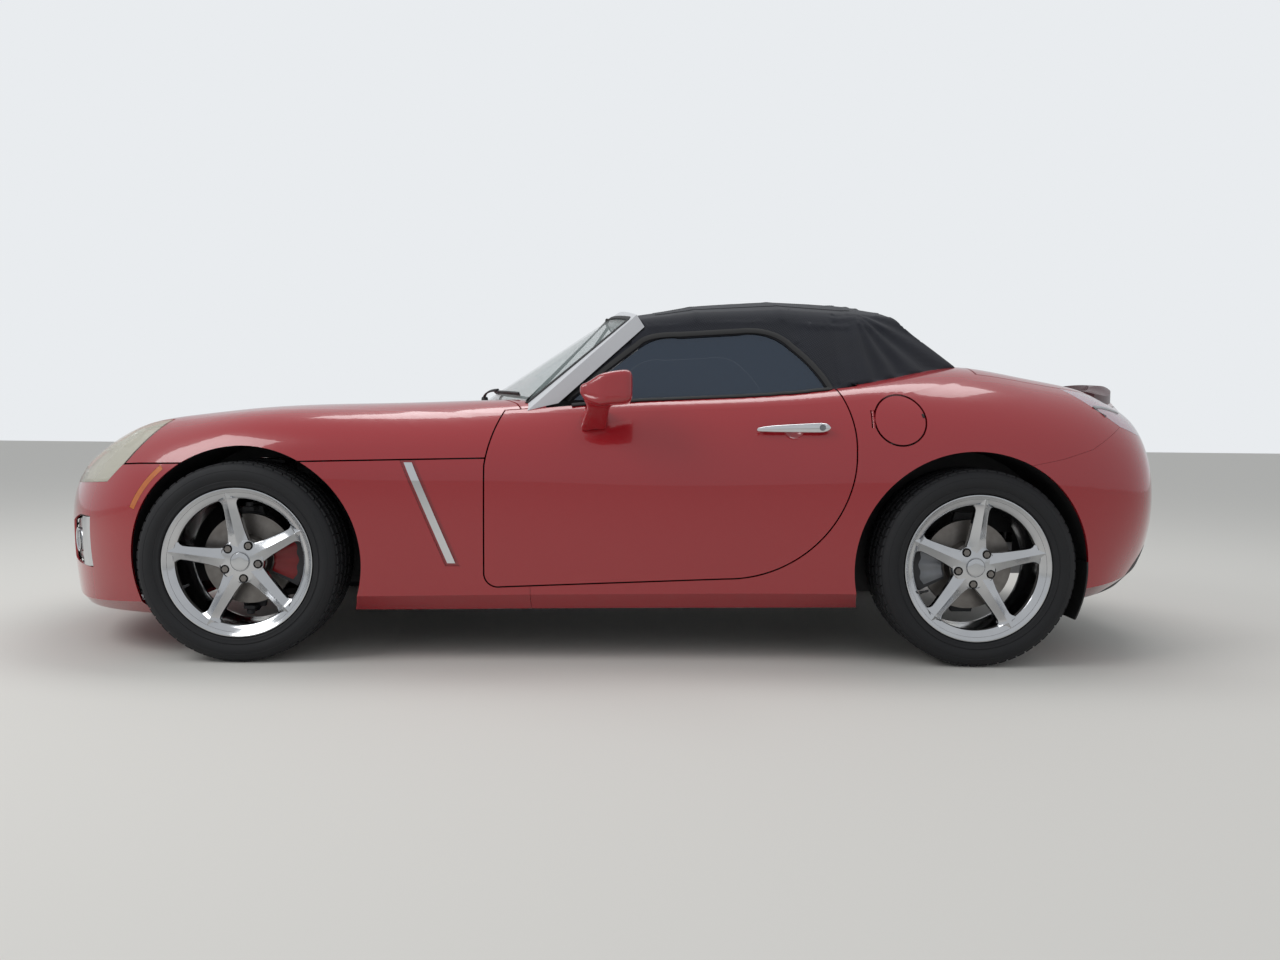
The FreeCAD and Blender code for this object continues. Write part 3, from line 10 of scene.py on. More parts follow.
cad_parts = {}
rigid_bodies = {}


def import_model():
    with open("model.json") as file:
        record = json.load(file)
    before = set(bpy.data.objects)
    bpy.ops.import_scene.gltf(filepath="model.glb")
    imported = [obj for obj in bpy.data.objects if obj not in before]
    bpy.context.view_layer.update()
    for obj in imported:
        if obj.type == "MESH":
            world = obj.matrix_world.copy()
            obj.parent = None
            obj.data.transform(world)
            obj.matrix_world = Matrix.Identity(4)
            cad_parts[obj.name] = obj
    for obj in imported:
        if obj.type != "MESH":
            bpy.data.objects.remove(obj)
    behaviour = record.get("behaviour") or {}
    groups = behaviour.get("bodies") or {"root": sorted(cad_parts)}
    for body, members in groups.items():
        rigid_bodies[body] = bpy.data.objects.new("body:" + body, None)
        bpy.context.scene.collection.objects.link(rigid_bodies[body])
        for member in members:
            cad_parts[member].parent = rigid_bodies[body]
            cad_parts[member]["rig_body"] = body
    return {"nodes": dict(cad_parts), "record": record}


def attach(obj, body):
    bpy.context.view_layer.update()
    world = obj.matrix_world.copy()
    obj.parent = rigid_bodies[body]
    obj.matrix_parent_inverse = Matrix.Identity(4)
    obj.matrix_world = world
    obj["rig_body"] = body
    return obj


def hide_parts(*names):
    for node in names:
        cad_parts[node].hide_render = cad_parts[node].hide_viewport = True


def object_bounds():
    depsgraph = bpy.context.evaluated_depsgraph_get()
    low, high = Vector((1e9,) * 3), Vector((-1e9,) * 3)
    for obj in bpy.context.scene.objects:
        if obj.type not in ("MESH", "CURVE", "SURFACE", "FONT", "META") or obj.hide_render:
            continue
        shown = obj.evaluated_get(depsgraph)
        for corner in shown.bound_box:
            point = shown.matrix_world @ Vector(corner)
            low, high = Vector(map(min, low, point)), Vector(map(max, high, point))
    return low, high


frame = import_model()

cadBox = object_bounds()
scene = bpy.context.scene
print("stage: frame loaded,", len(frame["nodes"]), "nodes")

# camera, lights, floor
cameraLook = {"position": (0.029, -4.220, 0.793), "yaw": 1.241, "pitch": -3.160, "roll": 0.618, "lens": 28.97}
studioLook = {"sky": "#E9ECEF", "skyStrength": 0.75, "floor": "#CFCDC8", "keyWatts": 130}


def linear(hexColour, alpha=1.0):
    parts = [int(hexColour[i:i + 2], 16) / 255 for i in (1, 3, 5)]
    return [p / 12.92 if p <= 0.04045 else ((p + 0.055) / 1.055) ** 2.4 for p in parts] + [alpha]


def addNode(tree, kind, settings=None, links=None):
    made = tree.nodes.new(kind)
    for key, value in (settings or {}).items():
        if isinstance(key, str) and hasattr(made, key):
            setattr(made, key, value)
        else:
            made.inputs[key].default_value = value
    for key, source in (links or {}).items():
        tree.links.new(source, made.inputs[key])
    return made


def placeCamera(look):
    yaw, pitch, roll = (math.radians(look[k]) for k in ("yaw", "pitch", "roll"))
    ahead = Vector((math.sin(yaw) * math.cos(pitch), math.cos(yaw) * math.cos(pitch), math.sin(pitch)))
    right = ahead.cross(Vector((0, 0, 1))).normalized()
    up = right.cross(ahead)
    turned = right * math.cos(roll) + up * math.sin(roll)
    upright = up * math.cos(roll) - right * math.sin(roll)
    data = bpy.data.cameras.new("camera")
    data.lens, data.sensor_width = look["lens"], 36
    data.clip_start, data.clip_end = 0.05, 100
    made = bpy.data.objects.new("camera", data)
    made.matrix_world = Matrix.Translation(look["position"]) @ Matrix((turned, upright, -ahead)).transposed().to_4x4()
    scene.collection.objects.link(made)
    scene.camera = made


def softbox(name, place, target, size, watts, colour="#FFFFFF"):
    data = bpy.data.lights.new(name, "AREA")
    data.shape, data.size, data.size_y = "RECTANGLE", size[0], size[1]
    data.energy, data.color = watts, linear(colour)[:3]
    made = bpy.data.objects.new(name, data)
    made.location = place
    made.rotation_mode = "QUATERNION"
    made.rotation_quaternion = (Vector(target) - Vector(place)).to_track_quat("-Z", "Y")
    scene.collection.objects.link(made)


def buildStudio(look):
    scene.view_settings.view_transform = "Standard"
    world = bpy.data.worlds.new("studioSky")
    scene.world = world
    world.use_nodes = True
    tree = world.node_tree
    tree.nodes.clear()
    light = addNode(tree, "ShaderNodeBackground", {"Color": linear(look["sky"]), "Strength": look["skyStrength"]})
    seen = addNode(tree, "ShaderNodeBackground", {"Color": linear(look["sky"]), "Strength": 1.0})
    path = addNode(tree, "ShaderNodeLightPath")
    mixed = addNode(tree, "ShaderNodeMixShader", None,
                    {0: path.outputs["Is Camera Ray"], 1: light.outputs[0], 2: seen.outputs[0]})
    addNode(tree, "ShaderNodeOutputWorld", None, {"Surface": mixed.outputs[0]})
    softbox("keyLight", (-4.6, -2.8, 4.8), (0, 0, 0.6), (3.4, 3.0), look["keyWatts"])
    softbox("overhead", (0.5, 1.2, 5.8), (0, 0, 0.5), (6.0, 2.0), look["keyWatts"])
    floor = bpy.data.meshes.new("studioFloor")
    floor.from_pydata([(-30, -30, 0), (30, -30, 0), (30, 30, 0), (-30, 30, 0)], [], [(0, 1, 2, 3)])
    made = bpy.data.objects.new("studioFloor", floor)
    scene.collection.objects.link(made)
    paint = bpy.data.materials.new("paleFloor")
    paint.use_nodes = True
    shader = paint.node_tree.nodes["Principled BSDF"]
    for key, value in (("Base Color", linear(look["floor"])), ("Roughness", 0.75)):
        shader.inputs[key].default_value = value
    floor.materials.append(paint)


placeCamera(cameraLook)
buildStudio(studioLook)

# finishes


def newFinish(name):
    made = bpy.data.materials.new(name)
    made.use_nodes = True
    tree = made.node_tree
    tree.nodes.clear()
    place = addNode(tree, "ShaderNodeTexCoord")
    shader = addNode(tree, "ShaderNodeBsdfPrincipled")
    addNode(tree, "ShaderNodeOutputMaterial", None, {"Surface": shader.outputs[0]})
    return made, tree, place.outputs["Object"], shader


def tinted(tree, shader, colour, second, share):
    # the base colour runs between two close colours
    tint = addNode(tree, "ShaderNodeMix", {"data_type": "RGBA", 6: linear(colour), 7: linear(second)}, {0: share})
    tree.links.new(tint.outputs[2], shader.inputs["Base Color"])


def roughened(tree, shader, rough, share):
    spread = addNode(tree, "ShaderNodeMapRange", {"To Min": rough[0], "To Max": rough[1]}, {"Value": share})
    tree.links.new(spread.outputs[0], shader.inputs["Roughness"])


def bumped(tree, shader, strength, distance, height):
    bump = addNode(tree, "ShaderNodeBump", {"Strength": strength, "Distance": distance}, {"Height": height})
    tree.links.new(bump.outputs[0], shader.inputs["Normal"])


def cloudy(tree, place, sizeMm, detail):
    return addNode(tree, "ShaderNodeTexNoise", {"Scale": 1000 / sizeMm, "Detail": detail}, {"Vector": place}).outputs[0]


def setInputs(shader, values):
    for key, value in values.items():
        shader.inputs[key].default_value = value


def mottled(name, colour, second, patchMm, rough, grainMm, bump, others):
    # two close colours in cloudy patches, with roughness and a fine bump of the same surface
    made, tree, place, shader = newFinish(name)
    patches = cloudy(tree, place, patchMm, 3.0)
    tinted(tree, shader, colour, second, patches)
    roughened(tree, shader, rough, patches)
    bumped(tree, shader, bump, grainMm / 1000, cloudy(tree, place, grainMm, 2.0))
    setInputs(shader, others)
    return made


def wovenCloth(name, look):
    # twill: threads along two directions of the object's own space, coarse enough to show in the render
    made, tree, place, shader = newFinish(name)
    waves = []
    for turn in (0.6, -0.9):
        laid = addNode(tree, "ShaderNodeMapping", {"Rotation": (turn, turn * 0.7, turn)}, {"Vector": place})
        waves.append(addNode(tree, "ShaderNodeTexWave", {"Scale": 1000 / look["threadMm"] / 6.3, "Distortion": 0.3},
                             {"Vector": laid.outputs[0]}))
    crossed = addNode(tree, "ShaderNodeMath", {"operation": "MULTIPLY"},
                      {0: waves[0].outputs["Fac"], 1: waves[1].outputs["Fac"]})
    blend = addNode(tree, "ShaderNodeMath", {"operation": "MULTIPLY_ADD", 1: 0.45, 2: 0.0}, {0: crossed.outputs[0]})
    shade = addNode(tree, "ShaderNodeMath", {"operation": "MULTIPLY_ADD", 1: 0.7},
                    {0: cloudy(tree, place, look["fadeMm"], 4.0), 2: blend.outputs[0]})
    tinted(tree, shader, look["colour"], look["second"], shade.outputs[0])
    bumped(tree, shader, 0.5, look["threadMm"] / 3000, crossed.outputs[0])
    setInputs(shader, {"Roughness": 0.86, "Sheen Weight": 0.08, "Sheen Roughness": 0.5})
    return made


def tintedGlass(name, look):
    # thin pane: mostly a clear tint with a sharp sky reflection, slightly dusty in patches
    made, tree, place, shader = newFinish(name)
    dust = addNode(tree, "ShaderNodeTexNoise", {"Scale": 3.0, "Detail": 5.0}, {"Vector": place})
    roughened(tree, shader, look["rough"], dust.outputs[0])
    setInputs(shader, {"Base Color": linear(look["colour"]), "IOR": 1.5, "Alpha": look["cover"],
                       "Specular IOR Level": 0.6})
    return made


# colour, second colour, patches in mm, roughness from and to, grain in mm, bump, other values of the shader
mottledLooks = {
    # automotive enamel under clear coat: deep red with a sharp reflection and a faint orange peel
    "redEnamel": ("#9C1620", "#98151F", 900, (0.25, 0.28), 1.6, 0.01,
        {"Coat Weight": 1.0, "Coat Roughness": 0.04, "Coat IOR": 1.5, "IOR": 1.45}),
    "screenSilver": ("#D2D3D6", "#C6C8CC", 300, (0.28, 0.4), 1.2, 0.02,
        {"Metallic": 0.15, "Coat Weight": 0.5, "Coat Roughness": 0.1}),
    "satinBlack": ("#1A1A1C", "#242427", 120, (0.42, 0.58), 1.5, 0.05, {}),
    "grainedPlastic": ("#1B1B1D", "#262628", 60, (0.5, 0.66), 1.1, 0.22, {}),
    "softRubber": ("#131314", "#1C1C1D", 80, (0.55, 0.75), 0.9, 0.12, {}),
    "tyreRubber": ("#0D0E11", "#17181C", 90, (0.62, 0.85), 1.4, 0.2, {}),
    "polishedAlloy": ("#CFD0D2", "#B9BBBE", 70, (0.09, 0.18), 1.0, 0.02, {"Metallic": 1.0}),
    "castAlloy": ("#8D8F93", "#777A7E", 40, (0.42, 0.6), 1.8, 0.25, {"Metallic": 0.9}),
    "brightChrome": ("#DADBDD", "#CFD0D3", 50, (0.06, 0.12), 1.0, 0.01, {"Metallic": 1.0}),
    "machinedIron": ("#8A8784", "#6F6A66", 25, (0.3, 0.5), 1.0, 0.12, {"Metallic": 1.0}),
    "roughCasting": ("#4A4A4C", "#363638", 50, (0.55, 0.75), 2.2, 0.35, {"Metallic": 0.6}),
    "plainSteel": ("#9B9C9E", "#838487", 60, (0.3, 0.5), 1.2, 0.08, {"Metallic": 1.0}),
    # the front calipers' red, darkened as painted shade
    "caliperRed": ("#840E13", "#6B0A0F", 30, (0.3, 0.45), 1.6, 0.1, {}),
    "lampSilver": ("#B9BABD", "#A3A5A8", 40, (0.12, 0.25), 1.0, 0.02, {"Metallic": 0.85}),
    # the rear lip: the body's red painted dark plum as painted shade
    "lipEnamel": ("#4A101B", "#3E0D17", 500, (0.34, 0.46), 1.6, 0.012,
        {"Coat Weight": 0.25, "Coat Roughness": 0.1, "IOR": 1.4}),
    "tailLens": ("#B99CA8", "#A98996", 45, (0.1, 0.2), 6.0, 0.2,
        {"Coat Weight": 1.0, "Coat Roughness": 0.03, "Subsurface Weight": 0.3,
         "Subsurface Radius": (0.02, 0.01, 0.01)}),
    "mirrorGlass": ("#B4BCC4", "#A9B1B9", 90, (0.02, 0.06), 1.0, 0.0, {"Metallic": 1.0}),
    "dialFace": ("#0C0D0F", "#131417", 30, (0.5, 0.6), 1.0, 0.05, {}),
    "dialWhite": ("#D8D8D4", "#C6C6C2", 20, (0.45, 0.6), 1.0, 0.05, {}),
    "amberLens": ("#C96A12", "#A9500A", 20, (0.1, 0.2), 4.0, 0.3, {"Coat Weight": 1.0, "Coat Roughness": 0.03}),
    "seatLeather": ("#232326", "#2E2E32", 90, (0.42, 0.58), 2.4, 0.3, {}),
}
finishes = {name: mottled(name, *look) for name, look in mottledLooks.items()}
clothLooks = {
    "beltWeb": {"colour": "#141416", "second": "#26262A", "threadMm": 2.4, "fadeMm": 60},
    "topCloth": {"colour": "#080A12", "second": "#171B28", "threadMm": 3.2, "fadeMm": 160},
}
finishes.update({name: wovenCloth(name, look) for name, look in clothLooks.items()})
glassLooks = {
    "clearGlass": {"colour": "#9FB0AE", "cover": 0.22, "rough": (0.0, 0.05)},
    "sideGlass": {"colour": "#2B3848", "cover": 0.82, "rough": (0.03, 0.12)},
    "yellowedLens": {"colour": "#DDD9C8", "cover": 0.42, "rough": (0.05, 0.16)},
}
finishes.update({name: tintedGlass(name, look) for name, look in glassLooks.items()})

slotFinish = {
    "body_paint": "redEnamel", "frame_paint": "satinBlack", "screen_frame": "screenSilver", "clear_glass": "clearGlass",
    "tinted_glass": "sideGlass", "cloth": "topCloth", "seat_cloth": "seatLeather", "black_plastic": "grainedPlastic",
    "lamp_silver": "lampSilver", "lens_clear": "yellowedLens", "lens_tail": "tailLens", "lens_amber": "amberLens",
    "lip_paint": "lipEnamel",
    "bright_metal": "brightChrome", "wheel_metal": "polishedAlloy", "tyre_rubber": "tyreRubber",
    "flap_rubber": "softRubber", "iron": "machinedIron", "dark_metal": "roughCasting", "steel": "plainSteel"}
nodeSlot = {part["node"]: part["material_slot"] for part in frame["record"]["subparts"]}
for nodeName, cadNode in frame["nodes"].items():
    cadNode.data.materials.clear()
    cadNode.data.materials.append(finishes[slotFinish[nodeSlot[nodeName]]])
print("stage: finishes made")

# making and placing pieces


def bodyOf(node):
    return frame["nodes"][node]["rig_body"]


def pattern(name, mesh):
    made = bpy.data.objects.new(name, mesh)
    scene.collection.objects.link(made)
    return made


def keep(name, mesh, finishName, body, angle=35):
    # one finished piece: smooth between sharp edges, riding on its body
    if finishName:
        mesh.materials.clear()
        mesh.materials.append(finishes[finishName])
    mesh.shade_smooth()
    mesh.set_sharp_from_angle(angle=math.radians(angle))
    made = bpy.data.objects.new(name, mesh)
    scene.collection.objects.link(made)
    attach(made, body)
    return made


def meshFrom(name, verts, faces):
    mesh = bpy.data.meshes.new(name)
    mesh.from_pydata([tuple(v) for v in verts], [], faces)
    return mesh


def outwards(mesh):
    work = bmesh.new()
    work.from_mesh(mesh)
    bmesh.ops.remove_doubles(work, verts=work.verts, dist=1e-5)
    bmesh.ops.recalc_face_normals(work, faces=work.faces)
    work.to_mesh(mesh)
    work.free()
    return mesh


def mirrorMesh(mesh, name):
    made = mesh.copy()
    made.name = name
    made.transform(Matrix.Scale(-1, 4, (0, 1, 0)))
    made.flip_normals()
    return made


def plainMesh(made):
    shown = bpy.context.evaluated_depsgraph_get()
    mesh = bpy.data.meshes.new_from_object(made.evaluated_get(shown))
    bpy.data.objects.remove(made)
    return mesh


surfaceTrees = {}


def rayTree(mesh):
    return BVHTree.FromPolygons([v.co.copy() for v in mesh.vertices], [tuple(p.vertices) for p in mesh.polygons])


across = Vector((0, 1, 0))


def surface(node):
    if node not in surfaceTrees:
        surfaceTrees[node] = rayTree(frame["nodes"][node].data)
    return surfaceTrees[node]


def struck(node, x, z):
    # where a ray from the left side meets a node, or None
    return surface(node).ray_cast(Vector((x, -1.3, z)), across)[0]


def drape(points, node, direction, lift=0.0):
    # throws points onto a CAD node along a direction; gives places and outward normals
    placed = []
    away = Vector(direction).normalized()
    for point in points:
        hit, normal, _, _ = surface(node).ray_cast(Vector(point), away)
        if hit is None:
            hit, normal, _, _ = surface(node).find_nearest(Vector(point))
        if normal.dot(away) > 0:
            normal = -normal
        placed.append((hit + normal * lift, normal))
    return placed


def arcPoints(a, middle, b, count):
    a, middle, b = Vector(a), Vector(middle), Vector(b)
    control = middle * 2 - (a + b) / 2
    return [a * (1 - t) ** 2 + control * 2 * t * (1 - t) + b * t ** 2 for t in np.linspace(0, 1, count)]


def evenly(points, step):
    # resamples a polyline at about one step
    points = [Vector(p) for p in points]
    lengths = [0.0]
    for p, q in zip(points, points[1:]):
        lengths.append(lengths[-1] + (q - p).length)
    count = max(2, round(lengths[-1] / step) + 1)
    made, k = [], 0
    for s in np.linspace(0, lengths[-1], count):
        while k < len(points) - 2 and lengths[k + 1] < s:
            k += 1
        span = lengths[k + 1] - lengths[k]
        made.append(points[k].lerp(points[k + 1], (s - lengths[k]) / span if span > 1e-9 else 0))
    return made


def loft(name, rings, closed=False):
    # skins rings of equally many points; an open loft gets end caps
    count, size = len(rings), len(rings[0])
    faces = []
    for k in range(count if closed else count - 1):
        a, b = k * size, (k + 1) % count * size
        faces += [(a + j, a + (j + 1) % size, b + (j + 1) % size, b + j) for j in range(size)]
    if not closed:
        faces += [tuple(range(size)), tuple((count - 1) * size + j for j in reversed(range(size)))]
    return outwards(meshFrom(name, [p for ring in rings for p in ring], faces))


def strip(name, placed, profile, closed=False):
    # sweeps a closed profile (sideways, up) along places with normals
    rings = []
    count = len(placed)
    for k, (place, normal) in enumerate(placed):
        before = placed[(k - 1) % count if closed else max(k - 1, 0)][0]
        after = placed[(k + 1) % count if closed else min(k + 1, count - 1)][0]
        along = (after - before).normalized()
        sideways = along.cross(normal).normalized()
        up = sideways.cross(along)
        rings.append([place + sideways * u + up * v for u, v in profile])
    return loft(name, rings, closed)


def rounded(width, height, corner=0.3, base=0.0):
    # a low profile with softened upper corners
    w, c = width / 2, min(width, height) * corner
    return [(-w, base), (w, base), (w, height - c), (w - c * 0.3, height - c * 0.3), (w - c, height),
            (-w + c, height), (-w + c * 0.3, height - c * 0.3), (-w, height - c)]


def roundBar(radius, sides=10):
    return [(radius * math.cos(2 * math.pi * k / sides), radius * math.sin(2 * math.pi * k / sides))
            for k in range(sides)]


def joinMeshes(name, meshes):
    verts, faces = [], []
    for mesh in meshes:
        start = len(verts)
        verts += [v.co.copy() for v in mesh.vertices]
        faces += [tuple(start + i for i in p.vertices) for p in mesh.polygons]
    return meshFrom(name, verts, faces)


def revolve(name, profile, sides, centre=(0, 0, 0), closedProfile=True):
    # turns (along, radius) about the Y axis
    verts, faces = [], []
    size = len(profile)
    for k in range(sides):
        a = 2 * math.pi * k / sides
        verts += [Vector((r * math.sin(a), o, r * math.cos(a))) + Vector(centre) for o, r in profile]
    for k in range(sides):
        following = (k + 1) % sides
        for j in range(size if closedProfile else size - 1):
            nextJ = (j + 1) % size
            faces.append((k * size + j, following * size + j, following * size + nextJ, k * size + nextJ))
    return outwards(meshFrom(name, verts, faces))


# Geometry Nodes trees


def newTree(name, inputs):
    tree = bpy.data.node_groups.new(name, "GeometryNodeTree")
    tree.interface.new_socket(name="Geometry", in_out="INPUT", socket_type="NodeSocketGeometry")
    for label, kind, value in inputs:
        socket = tree.interface.new_socket(name=label, in_out="INPUT", socket_type=kind)
        if value is not None:
            socket.default_value = value
    tree.interface.new_socket(name="Geometry", in_out="OUTPUT", socket_type="NodeSocketGeometry")
    return tree, addNode(tree, "NodeGroupInput").outputs


def shownObject(tree, given):
    info = addNode(tree, "GeometryNodeObjectInfo", {"transform_space": "ORIGINAL"}, {"Object": given})
    return info.outputs["Geometry"]


def closeTree(tree, given, points, turn):
    # the given part on every point, as real and painted geometry
    copies = addNode(tree, "GeometryNodeInstanceOnPoints", None, {
        "Points": points, "Instance": shownObject(tree, given["Part"]), "Rotation": turn})
    real = addNode(tree, "GeometryNodeRealizeInstances", None, {0: copies.outputs[0]})
    coated = addNode(tree, "GeometryNodeSetMaterial", None, {"Geometry": real.outputs[0], "Material": given["Finish"]})
    addNode(tree, "NodeGroupOutput", None, {0: coated.outputs[0]})
    return tree


def ringTree():
    # copies of one part round the wheel axis (Y), each turned to face outwards
    tree, given = newTree("partsInARing", [
        ("Part", "NodeSocketObject", None), ("Count", "NodeSocketInt", 60), ("Radius", "NodeSocketFloat", 0.3),
        ("Offset", "NodeSocketFloat", 0.0), ("Lead", "NodeSocketFloat", 0.0), ("Finish", "NodeSocketMaterial", None)])
    line = addNode(tree, "GeometryNodeMeshLine", {"Offset": (0, 0, 0)}, {"Count": given["Count"]})
    index = addNode(tree, "GeometryNodeInputIndex")
    share = addNode(tree, "ShaderNodeMath", {"operation": "DIVIDE"}, {0: index.outputs[0], 1: given["Count"]})
    angle = addNode(tree, "ShaderNodeMath", {"operation": "MULTIPLY_ADD", 1: 2 * math.pi},
                    {0: share.outputs[0], 2: given["Lead"]})
    sine = addNode(tree, "ShaderNodeMath", {"operation": "SINE"}, {0: angle.outputs[0]})
    cosine = addNode(tree, "ShaderNodeMath", {"operation": "COSINE"}, {0: angle.outputs[0]})
    x = addNode(tree, "ShaderNodeMath", {"operation": "MULTIPLY"}, {0: sine.outputs[0], 1: given["Radius"]})
    z = addNode(tree, "ShaderNodeMath", {"operation": "MULTIPLY"}, {0: cosine.outputs[0], 1: given["Radius"]})
    place = addNode(tree, "ShaderNodeCombineXYZ", None, {0: x.outputs[0], 1: given["Offset"], 2: z.outputs[0]})
    points = addNode(tree, "GeometryNodeSetPosition", None, {"Geometry": line.outputs[0], "Position": place.outputs[0]})
    turn = addNode(tree, "ShaderNodeCombineXYZ", None, {1: angle.outputs[0]})
    return closeTree(tree, given, points.outputs[0], turn.outputs[0])


def rowTree():
    # copies of one part along a curve, their X along it
    tree, given = newTree("partsAlongAPath", [
        ("Path", "NodeSocketObject", None), ("Part", "NodeSocketObject", None), ("Spacing", "NodeSocketFloat", 0.01),
        ("Finish", "NodeSocketMaterial", None)])
    points = addNode(tree, "GeometryNodeCurveToPoints", {"mode": "LENGTH"},
                     {"Curve": shownObject(tree, given["Path"]), "Length": given["Spacing"]})
    turn = addNode(tree, "FunctionNodeAlignRotationToVector", {"axis": "X"}, {"Vector": points.outputs["Tangent"]})
    return closeTree(tree, given, points.outputs[0], turn.outputs[0])


def runTree(tree, values, name):
    host = bpy.data.objects.new(name, bpy.data.meshes.new(name))
    scene.collection.objects.link(host)
    grower = host.modifiers.new(tree.name, "NODES")
    grower.node_group = tree
    for item in tree.interface.items_tree:
        if item.item_type == "SOCKET" and item.in_out == "INPUT" and item.name in values:
            grower[item.identifier] = values[item.name]
    mesh = plainMesh(host)
    mesh.name = name
    return mesh


def pathCurve(name, points):
    data = bpy.data.curves.new(name, "CURVE")
    data.dimensions = "3D"
    line = data.splines.new("POLY")
    line.points.add(len(points) - 1)
    for point, place in zip(line.points, points):
        point.co = (*place, 1.0)
    return pattern(name, data)


partsInARing = ringTree()
partsAlongAPath = rowTree()


def ringOf(name, part, count, radius, offset, lead, finishName):
    template = pattern(name + "Part", part)
    mesh = runTree(partsInARing, {"Part": template, "Count": count, "Radius": radius, "Offset": offset, "Lead": lead,
                                  "Finish": finishes[finishName]}, name)
    bpy.data.objects.remove(template)
    return mesh


def rowOf(name, points, part, spacing, finishName):
    template, path = pattern(name + "Part", part), pathCurve(name + "Path", points)
    mesh = runTree(partsAlongAPath, {"Path": path, "Part": template, "Spacing": spacing,
                                     "Finish": finishes[finishName]}, name)
    bpy.data.objects.remove(template)
    bpy.data.objects.remove(path)
    return mesh


def block(name, size, centre=(0, 0, 0), chamfer=0.0, taper=1.0):
    # a small block with chamfered top edges, its top along +Z
    x, y, z = (s / 2 for s in size)
    rows = [(-z, 1.0), (z - chamfer, taper)] + ([(z, None)] if chamfer else [])
    verts = []
    for height, share in rows:
        fx, fy = (x * taper - chamfer, y * taper - chamfer) if share is None else (x * share, y * share)
        verts += [(centre[0] + sx * fx, centre[1] + sy * fy, centre[2] + height)
                  for sx, sy in ((-1, -1), (1, -1), (1, 1), (-1, 1))]
    faces = [(3, 2, 1, 0)]
    for level in range(len(rows) - 1):
        for j in range(4):
            nextJ = (j + 1) % 4
            faces.append((level * 4 + j, level * 4 + nextJ, level * 4 + 4 + nextJ, level * 4 + 4 + j))
    top = (len(rows) - 1) * 4
    faces.append((top, top + 1, top + 2, top + 3))
    return meshFrom(name, verts, faces)


def relaxed(node, look, name):
    # a CAD block with even faces and soft edges; its packed triangles are loose, so they are merged first
    work = bmesh.new()
    work.from_mesh(frame["nodes"][node].data)
    bmesh.ops.remove_doubles(work, verts=work.verts, dist=2e-5)
    bmesh.ops.dissolve_degenerate(work, edges=work.edges, dist=1e-6)
    mesh = bpy.data.meshes.new(name)
    work.to_mesh(mesh)
    work.free()
    holder = pattern(name, mesh)
    even = holder.modifiers.new("even", "REMESH")
    even.mode, even.voxel_size = "VOXEL", look["voxel"]
    soft = holder.modifiers.new("soft", "SMOOTH")
    soft.factor, soft.iterations = 0.5, look["rounds"]
    return plainMesh(holder)


# tyres
tyreLook = {"radius": 0.328, "width": 0.242, "seat": 0.1027, "bead": 0.2283, "flange": 0.245, "pitches": 62,
            "groove": 0.0075, "rows": (-0.086, -0.048, 0.0, 0.048, 0.086), "rowWidth": 0.031, "gap": 0.0045,
            "sides": 144}


def tyreMesh(name, look):
    r, half = look["radius"], look["width"] / 2
    deep = r - look["groove"]
    seat, bead, flange = look["seat"], look["bead"], look["flange"]
    outer = [(seat - 0.018, bead), (seat, bead), (seat, flange), (seat + 0.004, flange + 0.003),
             (seat + 0.008, flange + 0.002), (seat + 0.012, flange + 0.006), (half - 0.006, r - 0.070),
             (half - 0.0035, r - 0.064), (half - 0.0055, r - 0.061), (half - 0.0015, r - 0.052),
             (half - 0.0005, r - 0.045), (half - 0.0005, r - 0.036), (half - 0.003, r - 0.030),
             (half - 0.0025, r - 0.0285), (half - 0.006, r - 0.020), (half - 0.011, r - 0.0125),
             (half - 0.017, deep - 0.001), (half - 0.024, deep)]
    crown = [(half - 0.060, deep + 0.001), (0.030, deep + 0.0015), (0.0, deep + 0.0015)]
    side = outer + crown
    inner = [(0.0, r - 0.018), (half - 0.040, r - 0.019), (half - 0.018, r - 0.040), (half - 0.018, r - 0.062),
             (seat - 0.018, bead + 0.014)]
    profile = side + [(-o, radius) for o, radius in reversed(side[:-1])] + \
        [(-o, radius) for o, radius in reversed(inner)][:-1] + inner
    meshes = [revolve(name + "Carcass", profile, look["sides"])]
    pitch = 2 * math.pi * r / look["pitches"]
    for number, offset in enumerate(look["rows"]):
        shoulder = abs(offset) > 0.08
        length = pitch - look["gap"] * (1.2 if shoulder else 0.8)
        width = look["rowWidth"] + (0.002 if shoulder else 0.0)
        height = look["groove"] + (0.002 if not shoulder else 0.001)
        part = block(name + "Block", (length, width, height), (0, 0, -height / 2), 0.0012, 0.97)
        for vert in part.vertices:  # the blocks slant across their row
            vert.co.x += vert.co.y * (0.35 if number % 2 else -0.35)
        drop = 0.0035 if shoulder else 0.0006
        meshes.append(ringOf(name + "Row", part, look["pitches"], r - drop, offset, number * 0.03, "tyreRubber"))
    return joinMeshes(name, meshes)


wheelCentres = {"front": Vector((-1.2005, -0.7715, 0.328)), "rear": Vector((1.2145, -0.78, 0.328))}  # left side
plainTyre = tyreMesh("tyreMould", tyreLook)
for axle, centre in wheelCentres.items():
    for side, sign in (("left", 1), ("right", -1)):
        where = axle + "_" + side
        mesh = plainTyre.copy()
        mesh.transform(Matrix.Translation((centre.x, centre.y * sign, centre.z)))
        made = keep("tread_tyre_" + where, mesh, "tyreRubber", "wheel_" + where, 30)
        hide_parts("tyre_" + where)
print("stage: tyres made")

# soft top
topLook = {"edge": 0.016, "tear": 0.35, "thick": 0.004, "sag": 0.0025, "bows": (0.30, 0.60), "wrinkle": 0.0065}


